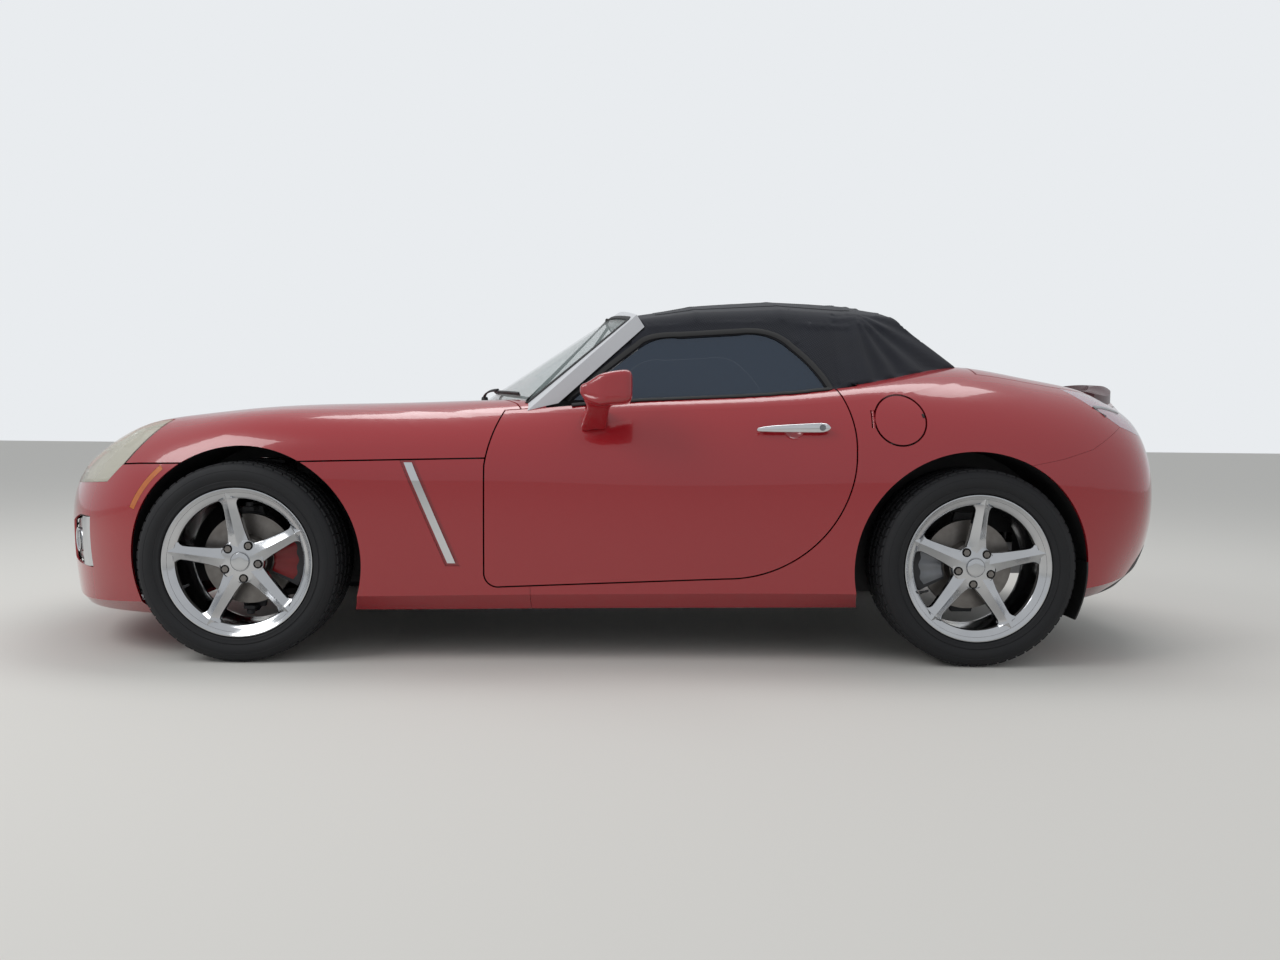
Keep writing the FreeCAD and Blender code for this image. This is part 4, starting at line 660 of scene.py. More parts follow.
def outerSheet(node, look):
    # the outer faces of the CAD cloth, merged and divided evenly
    work = bmesh.new()
    work.from_mesh(frame["nodes"][node].data)
    bmesh.ops.remove_doubles(work, verts=work.verts, dist=5e-5)
    work.normal_update()
    work.faces.ensure_lookup_table()
    tree = BVHTree.FromBMesh(work)
    drop = []
    for face in work.faces:
        centre, normal = face.calc_center_median(), face.normal
        if centre.x > 0.84 and abs(centre.y) > 0.40:
            inside = Vector((centre.x - 0.12, math.copysign(0.49, centre.y), centre.z - 0.05))
        else:
            inside = Vector((0.45, 0, 1.0))
        behind = tree.ray_cast(centre - normal * 1e-4, -normal)
        corner = normal.z > 0.9 and centre.z > 1.19  # over the notch the ray leaves through the side
        thin = behind[0] is not None and behind[3] < (0.045 if corner else 0.020)
        if normal.dot(inside - centre) > 0 or not thin:
            drop.append(face)
    bmesh.ops.delete(work, geom=drop, context="FACES")
    waiting = {e for e in work.edges if e.is_boundary}
    while waiting:  # small tears at the notch corners are closed, the real openings stay
        group, front = set(), [waiting.pop()]
        while front:
            edge = front.pop()
            group.add(edge)
            near = {e for v in edge.verts for e in v.link_edges} & waiting
            waiting -= near
            front += near
        if sum(e.calc_length() for e in group) < look["tear"]:
            bmesh.ops.holes_fill(work, edges=list(group), sides=0)
    for _ in range(9):
        longEdges = [e for e in work.edges if e.calc_length() > look["edge"]]
        if not longEdges:
            break
        bmesh.ops.subdivide_edges(work, edges=longEdges, cuts=1)
        bmesh.ops.triangulate(work, faces=[f for f in work.faces if len(f.verts) > 3])
        bmesh.ops.beautify_fill(work, faces=work.faces, edges=[e for e in work.edges if not e.is_boundary])
    work.normal_update()
    return work


def shapeTop(work, look):
    moved = []
    for vert in work.verts:
        x, y, z = vert.co
        edge = vert.is_boundary
        lift = 0.0
        if vert.normal.z > 0.5 and x < 0.84:
            bow = min(abs(x - b) for b in look["bows"])
            lift -= look["sag"] * min(1.0, bow / 0.10)
            lift += look["sag"] * 0.8 * math.exp(-(bow / 0.012) ** 2)
        if x > 0.78 and vert.normal.z < 0.9:  # tension folds fan out from the rear top corner
            dx, dz = x - 0.86, 1.20 - z
            fan = math.atan2(dz, max(dx, 0.01))
            reach = min(1.0, math.hypot(dx, dz) / 0.10)
            warp = noise.noise(Vector((x * 5, y * 3, z * 5)))
            lift += look["wrinkle"] * reach * math.sin(fan * 19 + y * 3 + warp * 2.2) * (0.6 + 0.6 * warp)
        lift += 0.0014 * noise.noise(Vector((x * 6, y * 6, z * 6)))
        moved.append(0.0 if edge else max(-0.006, min(lift, 0.006)))
    for vert, lift in zip(work.verts, moved):
        vert.co += vert.normal * (lift - 0.0022)


def buildTop():
    work = outerSheet("soft_top", topLook)
    shapeTop(work, topLook)
    area = sum(f.calc_area() for f in work.faces)
    mesh = bpy.data.meshes.new("canopy")
    work.to_mesh(mesh)
    work.free()
    mesh.materials.append(finishes["topCloth"])
    holder = pattern("canopyHolder", mesh)
    wall = holder.modifiers.new("wall", "SOLIDIFY")
    wall.thickness, wall.offset = topLook["thick"], -1.0
    thick = plainMesh(holder)
    made = keep("canopy", thick, "topCloth", "car_body", 50)
    surfaceTrees["canopy"] = rayTree(thick)
    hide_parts("soft_top")
    print("soft top area", round(area, 3), "triangles", sum(len(p.vertices) - 2 for p in thick.polygons))
    return made, area


canopy, canopyArea = buildTop()
print("stage: soft top made")


def pair(name, mesh, finishName, node, angle=35, stands=()):
    # one piece on the left body and its mirror image on the right one
    for side in ("left", "right"):
        ours = node.replace("left", side)
        data = mesh if side == "left" else mirrorMesh(mesh, name + "_right")
        made = keep(name + "_" + side, data, finishName, bodyOf(ours), angle)
        for other in stands:
            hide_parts(other.replace("left", side))


def both(name, mesh):
    return joinMeshes(name, [mesh, mirrorMesh(mesh, name + "Mirrored")])


def onBody(name, meshes, finishName, angle=40, twice=False):
    # one piece on the car's body, with its mirror image where the car has it on both sides
    mesh = joinMeshes(name, meshes)
    return keep(name, both(name, mesh) if twice else mesh, finishName, "car_body", angle)


def sidePath(rows):
    # points in the side view, in millimetres: a row of four is an arc through its first pair to its second
    path = [Vector((rows[0][0], 0, rows[0][1]))]
    for row in rows[1:]:
        if len(row) == 4:
            path += arcPoints(path[-1], (row[0], 0, row[1]), (row[2], 0, row[3]), 12)[1:]
        else:
            path.append(Vector((row[0], 0, row[1])))
    return [p / 1000 for p in path]


def offsetSide(points, distance):
    made = []
    for k, place in enumerate(points):
        run = (points[min(k + 1, len(points) - 1)] - points[max(k - 1, 0)]).normalized()
        made.append(place + Vector((-run.z, 0, run.x)) * distance)
    return made


def faced(mesh, place, normal):
    # a mesh made about +Y, turned to face along the normal and set at a place
    turn = Vector((0, 1, 0)).rotation_difference(Vector(normal)).to_matrix().to_4x4()
    mesh.transform(Matrix.Translation(place) @ turn)
    return mesh


def disc(name, profile, sides, place, normal):
    # turns (height, radius) about the normal; an open profile ends on the axis
    return faced(revolve(name, profile, sides, closedProfile=False), place, normal)


# rims: dished barrel, five ridged spokes, hub with pockets for the nuts, valve
rimLook = {"sides": 144, "lead": {"front": -9.5, "rear": 5.0}, "lug": 0.057, "pocket": 0.0148, "valve": (0.186, -115)}
rimProfile = [
    (-0.1108, 0.2395), (-0.1105, 0.2425), (-0.108, 0.2440), (-0.1035, 0.2440), (-0.103, 0.2290), (-0.079, 0.2250),
    (-0.061, 0.2120), (0.051, 0.2120), (0.079, 0.2250), (0.103, 0.2280), (0.1035, 0.2440), (0.1105, 0.2440),
    (0.111, 0.2365), (0.095, 0.2180), (0.049, 0.2065), (-0.062, 0.2065), (-0.076, 0.2066), (-0.084, 0.2072),
    (-0.0885, 0.2088), (-0.0925, 0.2130), (-0.0965, 0.2190), (-0.1010, 0.2265), (-0.1065, 0.2340)]
hubProfile = [
    (-0.0455, 0.0), (-0.0455, 0.0735), (-0.064, 0.0745), (-0.0705, 0.0725), (-0.0745, 0.0670), (-0.0765, 0.0560),
    (-0.0785, 0.0400), (-0.0795, 0.0325), (-0.0775, 0.0310), (-0.0775, 0.0300), (-0.0845, 0.0285), (-0.0862, 0.0250),
    (-0.0868, 0.0120), (-0.0868, 0.0)]
# radius, width, back, edge, ridge of a spoke
spokeRows = [
    (0.046, 0.080, -0.050, -0.0700, -0.0775), (0.072, 0.066, -0.050, -0.0690, -0.0830),
    (0.100, 0.057, -0.051, -0.0710, -0.0875), (0.140, 0.051, -0.055, -0.0760, -0.0925),
    (0.172, 0.047, -0.061, -0.0810, -0.0965), (0.190, 0.047, -0.066, -0.0840, -0.0985),
    (0.199, 0.055, -0.070, -0.0855, -0.0992), (0.205, 0.070, -0.073, -0.0865, -0.0996),
    (0.2095, 0.090, -0.076, -0.0880, -0.1000)]
tipRows = [(0.204, 0.046, -0.080, -0.0880, -0.0996), (0.212, 0.034, -0.084, -0.0925, -0.1006),
           (0.220, 0.020, -0.089, -0.0975, -0.1022), (0.2295, 0.002, -0.098, -0.1032, -0.1040)]


def spokeMesh(name, rows):
    rings = []
    for radius, width, back, edge, ridge in rows:
        w, soft = width / 2, min(0.004, width / 8)
        rings.append([(u, o, radius) for u, o in (
            (-w, back), (-w, edge + soft), (-w + soft * 0.4, edge + soft * 0.3), (-w + soft, edge), (0, ridge),
            (w - soft, edge), (w - soft * 0.4, edge + soft * 0.3), (w, edge + soft), (w, back))])
    return loft(name, rings)


def carve(mesh, cutters):
    # cuts closed meshes out of a closed mesh
    host, tool = pattern(mesh.name, mesh), pattern("cutters", joinMeshes("cutters", cutters))
    cut = host.modifiers.new("cut", "BOOLEAN")
    cut.operation, cut.solver, cut.object = "DIFFERENCE", "EXACT", tool
    made = plainMesh(host)
    bpy.data.objects.remove(tool)
    return made


def turnAbout(mesh, degrees):
    made = mesh.copy()
    made.transform(Matrix.Rotation(math.radians(degrees), 4, "Y"))
    return made


def atLugs(name, profile, look, lead=0.0):
    # the same turned form at each of the five wheel nuts
    made = []
    for k in range(5):
        a = math.radians(lead + 36 + 72 * k)
        centre = (look["lug"] * math.sin(a), 0, look["lug"] * math.cos(a))
        made.append(revolve(name, profile, 28, centre, closedProfile=False))
    return made


def rimMesh(name, look, lead):
    cutters = atLugs("cutter", [(-0.12, 0.0), (-0.12, look["pocket"]), (-0.060, look["pocket"]), (-0.060, 0.0)], look)
    hub = carve(revolve("hub", hubProfile, 100, closedProfile=False), cutters)
    arm = carve(spokeMesh("spoke", spokeRows), [cutters[0], cutters[4]])
    tip = spokeMesh("tip", tipRows)
    meshes = [revolve("barrel", rimProfile, look["sides"]), hub]
    meshes += [turnAbout(part, 72 * k) for k in range(5) for part in (arm, tip)]
    return turnAbout(joinMeshes(name, meshes), lead)


def pocketMesh(name, look, lead):
    cups = atLugs("cup", [(-0.0772, 0.0149), (-0.0778, 0.0141), (-0.0768, 0.0134), (-0.0640, 0.0130), (-0.0630, 0.0)],
                  look, lead)
    radius, degrees = look["valve"]
    a = math.radians(degrees)
    out = Vector((math.sin(a), 0, math.cos(a)))
    stem = revolve("stem", [(-0.016, 0.0), (-0.016, 0.0036), (-0.006, 0.0042), (-0.004, 0.0034), (0.006, 0.0040),
                            (0.014, 0.0062)], 16, closedProfile=False)
    cups.append(faced(stem, out * (radius + 0.004) + Vector((0, -0.088, 0)), out * 0.8 + Vector((0, 0.6, 0))))
    return joinMeshes(name, cups)


for axle, place in wheelCentres.items():
    centre = Matrix.Translation(place)
    rim = rimMesh("rimDress_" + axle, rimLook, rimLook["lead"][axle])
    rim.transform(centre)
    pair("rim_dress_" + axle, rim, "polishedAlloy", "rim_" + axle + "_left", 24, ["rim_" + axle + "_left"])
    cups = pocketMesh("lugCups_" + axle, rimLook, rimLook["lead"][axle])
    cups.transform(centre)
    pair("lug_cups_" + axle, cups, "satinBlack", "rim_" + axle + "_left", 30)
print("stage: rims made")

# brake calipers over the cast ones: red in front, the red darkened as painted shade, bare alloy behind
caliperLook = {"reach": (0.092, 0.184), "half": 23, "out": -0.0275, "back": -0.008, "ribs": 3}


def caliperMesh(name, sector, look):
    low, high = look["reach"]
    rings, steps = [], 14
    out, back = look["out"], look["back"]
    section = [(low, back), (low, out + 0.004), (low + 0.006, out), (high - 0.020, out), (high - 0.004, out + 0.008),
               (high + 0.0075, out + 0.010), (high + 0.0075, back + 0.055), (high + 0.004, back + 0.055),
               (high + 0.004, back)]
    for k in range(steps + 1):
        share = k / steps * 2 - 1
        a = math.radians(90 * sector + share * look["half"])
        swell = 0.0018 * math.cos(share * math.pi * look["ribs"])
        rings.append([(r * math.sin(a), o - (swell if o < look["out"] + 0.009 else 0), r * math.cos(a))
                      for r, o in section])
    return loft(name, rings)


for axle, sector, node, paint in (("front", 1, "knuckle_left", "caliperRed"),
                                  ("rear", -1, "rear_suspension", "castAlloy")):
    name = "caliper_" + axle
    mesh = caliperMesh(name, sector, caliperLook)
    mesh.transform(Matrix.Translation(wheelCentres[axle]))
    if "left" in node:
        pair(name, mesh, paint, node, 30)
    else:
        onBody(name, [mesh], paint, 30, twice=True)

# rubber seals round the windows and the black borders of the glass
sealLook = {"top": (0.020, 0.0032), "belt": (0.013, 0.008), "screen": (0.017, 0.0025), "pane": (0.026, 0.003)}
windowTop = [(-141, 855), (-30, 948, 103, 1053), (150, 1078, 242, 1086), (442, 1099), (545, 1094, 618, 1048),
             (690, 975, 736, 900)]
screenOut = Vector((-math.sin(math.radians(33.8)), 0, math.cos(math.radians(33.8))))
screenUp = Vector((math.cos(math.radians(33.8)), 0, math.sin(math.radians(33.8))))


def thrown(points, y, node, lift=0.0):
    return drape([Vector((p.x, y, p.z)) for p in points], node, across, lift)


outline = evenly(offsetSide(sidePath(windowTop), 0.016), 0.012)
pair("window_seal", strip("windowSeal", thrown(outline, -1.3, "soft_top"), rounded(*sealLook["top"], base=-0.004)),
     "softRubber", "door_glass_left", 40)


def beltPoint(x):
    found = None
    for z in np.arange(0.79, 0.95, 0.0015):
        hit = struck("door_left", x, z)
        if hit is None or hit.y > -0.70:
            break
        found = hit
    return found


beltLine = [(beltPoint(x), Vector((0, -0.75, 0.66))) for x in np.linspace(-0.128, 0.738, 60)]
pair("belt_seal", strip("beltSeal", beltLine, rounded(*sealLook["belt"], base=-0.004)), "softRubber", "door_left", 40)

foot = arcPoints((-0.300, -0.688, 0.858), (-0.500, 0, 0.880), (-0.300, 0.688, 0.858), 40)
head = arcPoints((0.072, 0.560, 1.147), (-0.022, 0, 1.200), (0.072, -0.560, 1.147), 34)
loop = evenly(foot + head + [foot[0]], 0.02)[:-1]
middle = sum(loop, Vector()) / len(loop)
loop = [middle + (p - middle) * 1.008 + screenOut * 0.1 for p in loop]
screenLine = drape(loop, "windscreen_frame", -screenOut)
onBody("screen_seal", [strip("screenSeal", screenLine, rounded(*sealLook["screen"], base=-0.004), closed=True)],
       "softRubber")

notchRun = Vector((215, 0, -300)).normalized()
notchOut = Vector((-notchRun.z, 0, notchRun.x))
paneCentre = Vector((0.905, 0, 1.250)) + notchRun * 0.170


def roundedFrame(half, corner, steps=7):
    points = []
    for cx, cy, start in ((1, 1, 0), (-1, 1, 90), (-1, -1, 180), (1, -1, 270)):
        for k in range(steps):
            a = math.radians(start + 90 * k / (steps - 1))
            points.append(((half[0] - corner) * cx + corner * math.cos(a),
                           (half[1] - corner) * cy + corner * math.sin(a)))
    return points


rearFrame = [(paneCentre + notchRun * u + across * v - notchOut * 0.0005, notchOut)
             for u, v in roundedFrame((0.099, 0.3345), 0.03)]
onBody("rear_window_frame", [strip("windowFrame", rearFrame, rounded(*sealLook["pane"], base=-0.005), closed=True)],
       "softRubber")
print("stage: seals made")

# stitched seams along the top
seamLook = {"lines": (0.47, 0.20), "stitch": (0.0045, 0.0011, 0.0009), "pitch": 0.0075, "welt": (0.011, 0.0014)}
seamMeshes, stitchMeshes = [], []
for y in seamLook["lines"]:
    line = drape([Vector((x, -y, 1.6)) for x in np.linspace(0.16, 0.86, 60)], "canopy", (0, 0, -1))
    seamMeshes.append(strip("seam", line, rounded(*seamLook["welt"], base=-0.003)))
    for shift in (-0.0036, 0.0036):
        points = [p + Vector((0, shift, 0.0014)) for p, _ in line]
        stitch = block("stitch", seamLook["stitch"])
        stitchMeshes.append(rowOf("stitches", points, stitch, seamLook["pitch"], "topCloth"))
onBody("top_seams", seamMeshes, "topCloth", twice=True)
onBody("top_stitches", stitchMeshes, "topCloth", twice=True)
print("stage: seams made")

# door mirrors as one soft form, with their glass
mirrorLook = {"voxel": 0.006, "rounds": 16, "swell": 0.003, "pane": (0.0405, 0.0570), "paneHeight": 0.908,
              "power": 2.8, "sides": 48, "centre": (0.070, -0.934, 0.900), "length": 0.142, "nose": 0.86,
              "stalk": 0.852, "inside": 0.0006}


def bulletPod(node, look, name):
    mesh = relaxed(node, look, name)
    glassX, centreY, centreZ = look["centre"]
    for vert in mesh.vertices:  # the pod narrows to the front like a bullet, flatter below
        share = min(1.0, max(0.0, (glassX - vert.co.x) / look["length"]))
        size = math.sqrt(1 - (look["nose"] * share) ** 2.4)
        held = min(1.0, max(0.0, (vert.co.z - look["stalk"]) / 0.014))
        size = 1 + (size - 1) * held
        vert.co.y = centreY + (vert.co.y - centreY) * size
        vert.co.z = centreZ + (vert.co.z - centreZ) * size
    normals = [v.normal.copy() for v in mesh.vertices]
    for vert, normal in zip(mesh.vertices, normals):
        vert.co += normal * look["swell"]
        vert.co.y = max(vert.co.y, cadBox[0][1] + look["inside"])
    return mesh


pair("mirror_pod", bulletPod("mirror_left", mirrorLook, "mirrorPod"), "redEnamel", "mirror_left", 60, ["mirror_left"])


def mirrorPane(look):
    # a squarish oval with a slightly raised middle and a short rim
    x, y, z = look["centre"][0], look["centre"][1], look["paneHeight"]
    (halfHigh, halfWide), count, power = look["pane"], look["sides"], 2 / look["power"]
    verts = [(x + 0.0008, y, z)]
    for k in range(count):
        c, d = math.cos(2 * math.pi * k / count), math.sin(2 * math.pi * k / count)
        verts.append((x, y + halfWide * math.copysign(abs(c) ** power, c),
                      z + halfHigh * math.copysign(abs(d) ** power, d)))
    verts += [(x - 0.008, v[1], v[2]) for v in verts[1:]]
    faces = [(0, k + 1, (k + 1) % count + 1) for k in range(count)]
    faces += [(k + 1, k + 1 + count, (k + 1) % count + 1 + count, (k + 1) % count + 1) for k in range(count)]
    return outwards(meshFrom("mirrorPane", verts, faces))


pair("mirror_glass", mirrorPane(mirrorLook), "mirrorGlass", "mirror_left", 30)

# door handles: a lozenge bar with a lock at its rear end
handleLook = {"from": 0.484, "to": 0.723, "height": 0.782, "proud": 0.0012, "sides": 20}
handleRows = [  # share of the length, half height, centre above the handle's height
    (0.0, 0.002, -0.007), (0.02, 0.006, -0.0065), (0.08, 0.0085, -0.005), (0.25, 0.0115, -0.003), (0.5, 0.0135, -0.001),
    (0.75, 0.0155, 0.001), (0.88, 0.0160, 0.002), (0.95, 0.0135, 0.0025), (0.985, 0.008, 0.0025), (1.0, 0.002, 0.0025)]


def handleMesh(name, look):
    shares = np.linspace(0, 1, 48)
    high = np.interp(shares, [r[0] for r in handleRows], [r[1] for r in handleRows])
    lift = np.interp(shares, [r[0] for r in handleRows], [r[2] for r in handleRows])
    rings = []
    for share, h, up in zip(shares, high, lift):
        x = look["from"] + (look["to"] - look["from"]) * share
        hit = struck("door_handle_left", x, look["height"])
        face = (hit.y if hit else rings[-1][-1][1]) - look["proud"]
        deep = 0.0062 * min(1.0, h / 0.009)
        turns = [2 * math.pi * j / look["sides"] for j in range(look["sides"])]
        rings.append([(x, face + deep - deep * math.cos(a), look["height"] + up + h * math.sin(a)) for a in turns])
    return loft(name, rings)


bar = handleMesh("handleBar", handleLook)
feet = [strip("foot", [(Vector((x, -0.90, z)), Vector((1, 0, 0))), (Vector((x, -0.845, z)), Vector((1, 0, 0)))],
              roundBar(0.0085, 12)) for x, z in ((0.502, 0.777), (0.704, 0.784))]
for stud, x in zip(feet, (0.502, 0.704)):
    reach = struck("door_handle_left", x, handleLook["height"]).y
    stud.transform(Matrix.Translation((0, reach + 0.90 + 0.004, 0)))
pair("handle_bar", joinMeshes("handle", [bar] + feet), "brightChrome", "door_handle_left", 50, ["door_handle_left"])
lockAt = struck("door_handle_left", 0.697, handleLook["height"])
lock = disc("lock", [(-0.004, 0.0105), (0.0012, 0.0102), (0.0012, 0.0085), (0.0004, 0.0078), (0.0004, 0.0)], 32,
            (0.697, lockAt.y - 0.0014, 0.7845), (0, -1, 0))
pair("handle_lock", lock, "castAlloy", "door_handle_left", 30)
print("stage: mirrors and handles made")

# seats: padded forms from the CAD blocks, with their seams
seatLook = {"voxel": 0.016, "rounds": 4, "centreY": -0.395, "shrink": 0.010, "pressure": 4.0,
            "frames": 20, "cap": 0.022, "waist": 0.030, "dish": 0.016, "fill": 0.75, "seam": (0.0075, 0.0022)}


def seatForm(mesh, look):
    # rounds the block towards a real seat: narrow head, dished cushion and back, waist in the sides
    centreY = look["centreY"]
    for vert in mesh.vertices:
        x, y, z = vert.co
        side = (y - centreY) / 0.23
        if z > 0.70:
            narrow = min(1.0, (z - 0.70) / 0.26)
            vert.co.y = centreY + (y - centreY) * (1.0 - 0.34 * narrow ** 1.4)
        elif z > 0.42:
            vert.co.y -= side * look["waist"] * math.sin(math.pi * (z - 0.42) / 0.28) * 0.5
        inner = max(0.0, 1.0 - (side / 0.72) ** 4)
        if vert.normal.z > 0.6 and x < 0.66 and z < 0.42:
            vert.co.z -= look["dish"] * inner
        if vert.normal.x < -0.6 and z > 0.42:
            vert.co.x += look["dish"] * inner * min(1.0, (z - 0.40) / 0.1)


def paddedSeat(name, look):
    mesh = relaxed("seat_left", look, name)
    start = [v.co.copy() for v in mesh.vertices]
    for vert, normal in zip(mesh.vertices, [v.normal.copy() for v in mesh.vertices]):
        vert.co -= normal * look["shrink"]
    seatForm(mesh, look)
    before = [v.co.copy() for v in mesh.vertices]
    holder = pattern(name + "Cloth", mesh)
    cloth = holder.modifiers.new("swell", "CLOTH")
    cloth.settings.use_pressure = True
    cloth.settings.uniform_pressure_force = look["pressure"]
    cloth.settings.effector_weights.gravity = 0.0
    cloth.settings.quality = 5
    cloth.point_cache.frame_start, cloth.point_cache.frame_end = 1, look["frames"]
    for step in range(1, look["frames"] + 1):
        scene.frame_set(step)
    mesh = plainMesh(holder)
    scene.frame_set(1)
    for vert, place in zip(mesh.vertices, before):
        move = vert.co - place
        if move.length > look["cap"]:
            vert.co = place + move.normalized() * look["cap"]
    low = [min(v[k] for v in start) + 0.003 for k in range(3)]
    high = [max(v[k] for v in start) - 0.003 for k in range(3)]
    for vert in mesh.vertices:  # the swell stays within the block's own reach
        vert.co = Vector(min(max(vert.co[k], low[k]), high[k]) for k in range(3))
    holder = pattern(name + "Fine", mesh)
    fine = holder.modifiers.new("fine", "SUBSURF")
    fine.levels = fine.render_levels = 1
    return plainMesh(holder)


def seatSeams(mesh, look):
    tree = rayTree(mesh)
    made = []

    def laid(points, away):
        placed = []
        for point in points:
            hit, normal, _, _ = tree.ray_cast(Vector(point), Vector(away))
            if hit is not None:
                placed.append((hit, normal))
        if len(placed) > 3:
            made.append(strip("seam", placed, rounded(*look["seam"], base=-0.002)))

    middleY = look["centreY"]
    for side in (-0.128, 0.128):
        laid([(x, middleY + side, 0.70) for x in np.linspace(0.22, 0.60, 34)], (0, 0, -1))
        back = [(0.30, middleY + side * (1.0 if z < 0.72 else 1.0 - 0.35 * (z - 0.72) / 0.2), z)
                for z in np.linspace(0.46, 0.90, 38)]
        laid(back, (1, 0, 0))
    for x in (0.30, 0.44):
        laid([(x, y, 0.70) for y in np.linspace(-0.521, -0.269, 24)], (0, 0, -1))
    for z in (0.58, 0.72, 0.86):
        reach = 0.124 if z < 0.75 else 0.10
        laid([(0.30, y, z) for y in np.linspace(middleY - reach, middleY + reach, 22)], (1, 0, 0))
    return made


seatMesh = paddedSeat("seatPad", seatLook)
for side in ("left", "right"):
    data = seatMesh if side == "left" else mirrorMesh(seatMesh, "seatPadRight")
    made = keep("seat_pad_" + side, data, "seatLeather", "car_body", 70)
    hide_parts("seat_" + side)
onBody("seat_seams", seatSeams(seatMesh, seatLook), "softRubber", twice=True)
print("stage: seats made, triangles each", sum(len(p.vertices) - 2 for p in seatMesh.polygons))

# tail lamps: a rib along the lens, a real ridge in a silver finish that is a painted highlight; headlamps: rings and
# domes behind the lens
lampLook = {"rib": (0.012, 0.0035), "rings": ((-1.735, -0.530, 0.052), (-1.640, -0.625, 0.047))}
ribPath = arcPoints((1.648, 0, 0.864), (1.71, 0, 0.861), (1.775, 0, 0.846), 26)
pair("tail_lamp_rib", strip("tailLampRib", thrown(ribPath, -1.3, "tail_lamps"), rounded(*lampLook["rib"], base=-0.002)),
     "lampSilver", "tail_lamps", 50)
bezels, domes = [], []
for x, y, radius in lampLook["rings"]:
    hit, normal = drape([(x, y, 1.2)], "headlamp_housings", (0, 0, -1))[0]
    centre = hit + normal * 0.001
    ring = [(0.0, radius), (0.004, radius), (0.0055, radius - 0.003), (0.003, radius - 0.008), (0.0, radius - 0.012)]
    bezels.append(disc("bezel", ring, 56, centre, normal))
    bowl = [(0.0, radius - 0.010), (0.0035, radius - 0.013), (0.0065, radius * 0.5), (0.0075, radius * 0.2),
            (0.0078, 0.0)]
    domes.append(disc("dome", bowl, 48, centre, normal))
onBody("headlamp_bezels", bezels, "brightChrome", twice=True)
onBody("headlamp_domes", domes, "clearGlass", twice=True)
print("stage: lamps made")

# wipers on the screen, parked along its foot
wiperLook = {"reach": ((-0.60, -0.08), (-0.02, 0.50)), "arm": (0.013, 0.006)}
wiperMeshes = []
glassFoot = arcPoints((-0.300, -0.688, 0.858), (-0.500, 0, 0.880), (-0.300, 0.688, 0.858), 81)
for startY, endY in wiperLook["reach"]:
    path = [p + screenUp * 0.045 + screenOut * 0.2 for p in glassFoot if startY <= p.y <= endY]
    placed = drape(path, "windscreen", -screenOut)
    wiperMeshes.append(strip("blade", placed, [
        (-0.0012, 0.0), (0.0012, 0.0), (0.0018, 0.006), (0.0035, 0.009), (0.0035, 0.013), (-0.0035, 0.013),
        (-0.0035, 0.009), (-0.0018, 0.006)]))
    middlePlace, middleNormal = placed[len(placed) // 2]
    root = drape([middlePlace - screenUp * 0.085 + Vector((0, 0.10, 0.3))], "cowl", (0, 0, -1))[0][0]
    arm = evenly(arcPoints(root + Vector((0, 0, 0.012)), (root + middlePlace) / 2 + middleNormal * 0.022,
                           middlePlace + middleNormal * 0.014, 12), 0.012)
    wiperMeshes.append(strip("arm", [(p, middleNormal) for p in arm], rounded(*wiperLook["arm"])))
    hub = [(-0.006, 0.013), (0.010, 0.0125), (0.014, 0.010), (0.016, 0.0)]
    wiperMeshes.append(disc("hub", hub, 28, root, (0, 0, 1)))
onBody("wipers", wiperMeshes, "satinBlack", 35)
print("stage: wipers made")

# cabin: gauges, vents, shifter boot, armrests, belts
gaugeMeshes, dialMeshes, tickMeshes = [], [], []
gaugeNormal = Vector((1, 0, 0.15)).normalized()
for y, radius in ((-0.455, 0.030), (-0.385, 0.036), (-0.310, 0.030)):
    centre = drape([(0.4, y, 0.868)], "dashboard", (-1, 0, 0))[0][0]
    hood = [(0.0, radius + 0.005), (0.008, radius + 0.004), (0.008, radius), (0.001, radius - 0.001)]
    gaugeMeshes.append(disc("gauge", hood, 44, centre, gaugeNormal))
    dialMeshes.append(disc("dial", [(0.0, radius + 0.002), (0.0015, radius), (0.0015, 0.0)], 44, centre, gaugeNormal))
    tick = block("tick", (0.0012, 0.0008, 0.006))
    ring = ringOf("ticks", tick, 24, radius - 0.007, 0.0, 0.0, "dialWhite")
    tickMeshes.append(faced(ring, centre + gaugeNormal * 0.0018, gaugeNormal))
    needle = block("needle", (0.0016, 0.0008, radius * 0.7), (0, 0, radius * 0.3))
    tickMeshes.append(faced(turnAbout(needle, -120), centre + gaugeNormal * 0.0030, gaugeNormal))
onBody("gauge_rings", gaugeMeshes, "brightChrome")
onBody("gauge_dials", dialMeshes, "dialFace")
onBody("gauge_marks", tickMeshes, "dialWhite")
ventMeshes = []
for y in (-0.60, -0.075, 0.075, 0.60):
    centre, normal = drape([(0.4, y, 0.745)], "dashboard", (-1, 0, 0))[0]
    cup = [(0.0, 0.041), (0.009, 0.040), (0.010, 0.036), (0.004, 0.033), (0.003, 0.0)]
    ventMeshes.append(disc("vent", cup, 44, centre, normal))
    for k in range(-2, 3):
        slat = block("slat", (0.0025, 0.004, 2 * math.sqrt(0.031 ** 2 - (0.012 * k) ** 2)), (0.012 * k, 0.006, 0))
        ventMeshes.append(faced(turnAbout(slat, 90), centre, normal))
onBody("dash_vents", ventMeshes, "satinBlack", 35)
folds = [(0.492 + 0.075 * k / 12, 0.052 - 0.036 * (k / 12) ** 0.8 + (0.003 if k % 2 else -0.002)) for k in range(13)]
boot = revolve("boot", [(z, r) for z, r in folds], 32, closedProfile=False)
boot.transform(Matrix.Translation((0.212, 0, 0)) @ Matrix.Rotation(math.radians(90), 4, "X"))
onBody("shifter_boot", [boot], "seatLeather", 60)
armRows = [(Vector((x, -0.728, 0.690 + 0.02 * (x - 0.1))), Vector((0, 1, 0))) for x in np.linspace(0.10, 0.56, 24)]
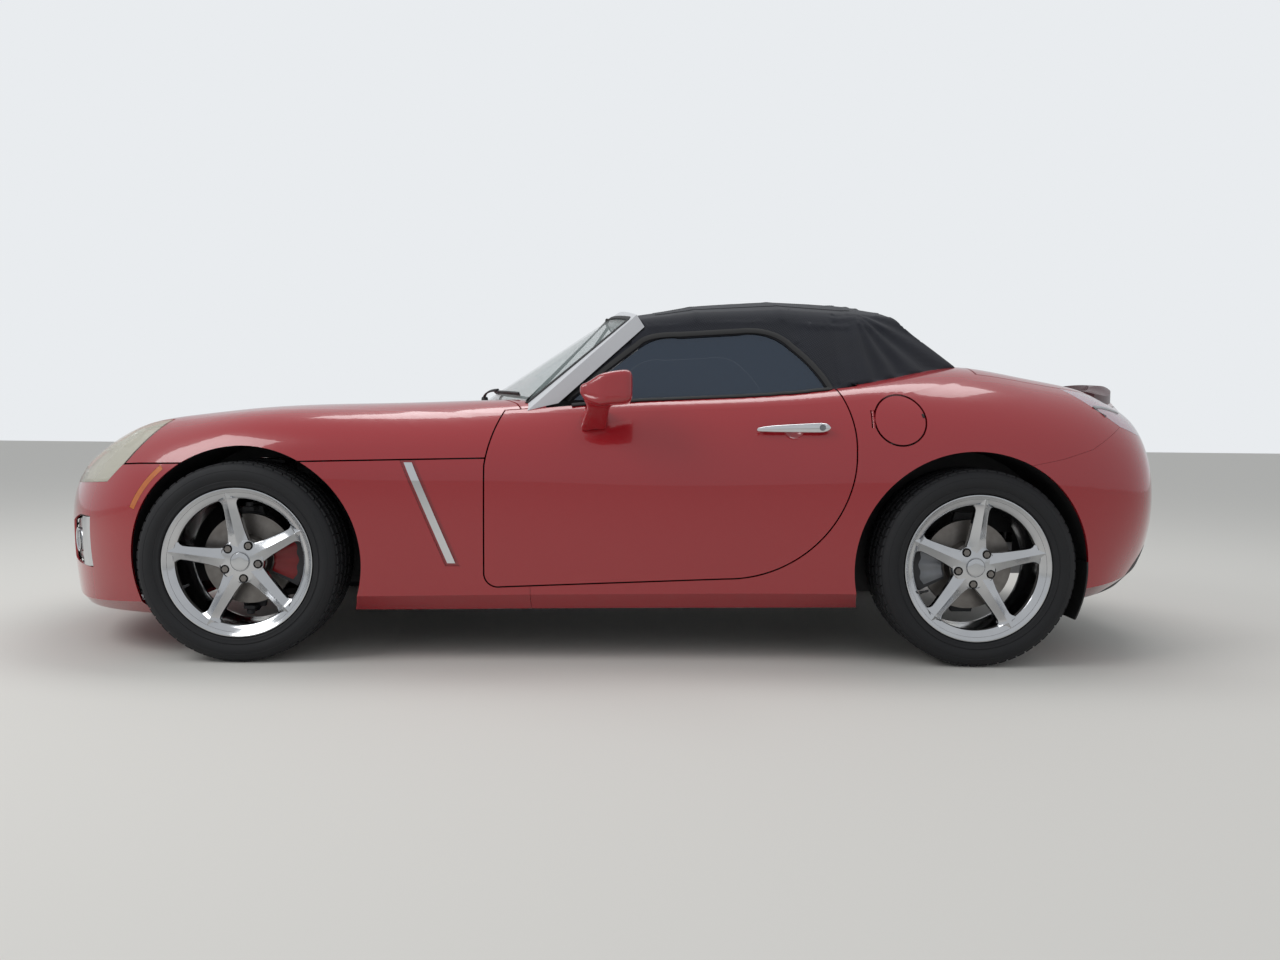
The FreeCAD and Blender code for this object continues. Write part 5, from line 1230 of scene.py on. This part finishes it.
armrest = strip("armrest", armRows, [
    (-0.024, -0.006), (0.024, -0.006), (0.026, 0.010), (0.020, 0.032), (0.004, 0.038), (-0.012, 0.036),
    (-0.022, 0.024)])
pullRows = [(Vector((x, -0.728, 0.74 + 0.012 * math.sin((x - 0.1) * 9))), Vector((0, 1, 0)))
            for x in np.linspace(0.14, 0.30, 16)]
pull = strip("pull", pullRows, roundBar(0.008, 10))
pair("door_armrest", joinMeshes("doorArmrest", [armrest, pull]), "seatLeather", "door_left", 45)
beltPath = [(0.800, -0.655, 0.850), (0.795, -0.662, 0.600), (0.790, -0.664, 0.330)]
beltPlaces = [(Vector(p), Vector((-0.9, 0.4, 0)).normalized()) for p in evenly([Vector(p) for p in beltPath], 0.03)]
belt = strip("belt", beltPlaces, rounded(0.046, 0.0015, base=0.0))
onBody("seat_belts", [belt], "beltWeb", twice=True)
print("stage: cabin made")

# small outside pieces: filler flap tab, tailpipe ring, fog lamp rings
tab = thrown([Vector((1.031, 0, 0.8325)), Vector((1.0345, 0, 0.8205))], -1.3, "fuel_flap")
keep("flap_tab", strip("flapTab", tab, rounded(0.006, 0.0018, base=-0.001)), "softRubber", bodyOf("fuel_flap"),
     40)
ringMesh = revolve("pipeRing", [(-0.03, 0.0365), (0.004, 0.0368), (0.006, 0.0350), (0.004, 0.0330), (-0.03, 0.0325)],
                   48)
pipeEnd = max((v.co for v in frame["nodes"]["exhaust"].data.vertices), key=lambda c: c.x)
ringMesh.transform(Matrix.Translation((pipeEnd.x - 0.006, 0.330, 0.245)) @ Matrix.Rotation(math.radians(-90), 4, "Z"))
onBody("tailpipe_ring", [ringMesh], "brightChrome")
fogHit = surface("fog_lamps").ray_cast(Vector((-2.4, -0.6, 0.368)), Vector((1, 0, 0)))
fogRing = disc("fogRing", [(-0.004, 0.042), (0.0035, 0.0425), (0.005, 0.0395), (0.002, 0.0365), (-0.004, 0.036)], 48,
               fogHit[0], fogHit[1])
pair("fog_ring", fogRing, "brightChrome", "fog_lamps", 40)
print("stage: small pieces made")
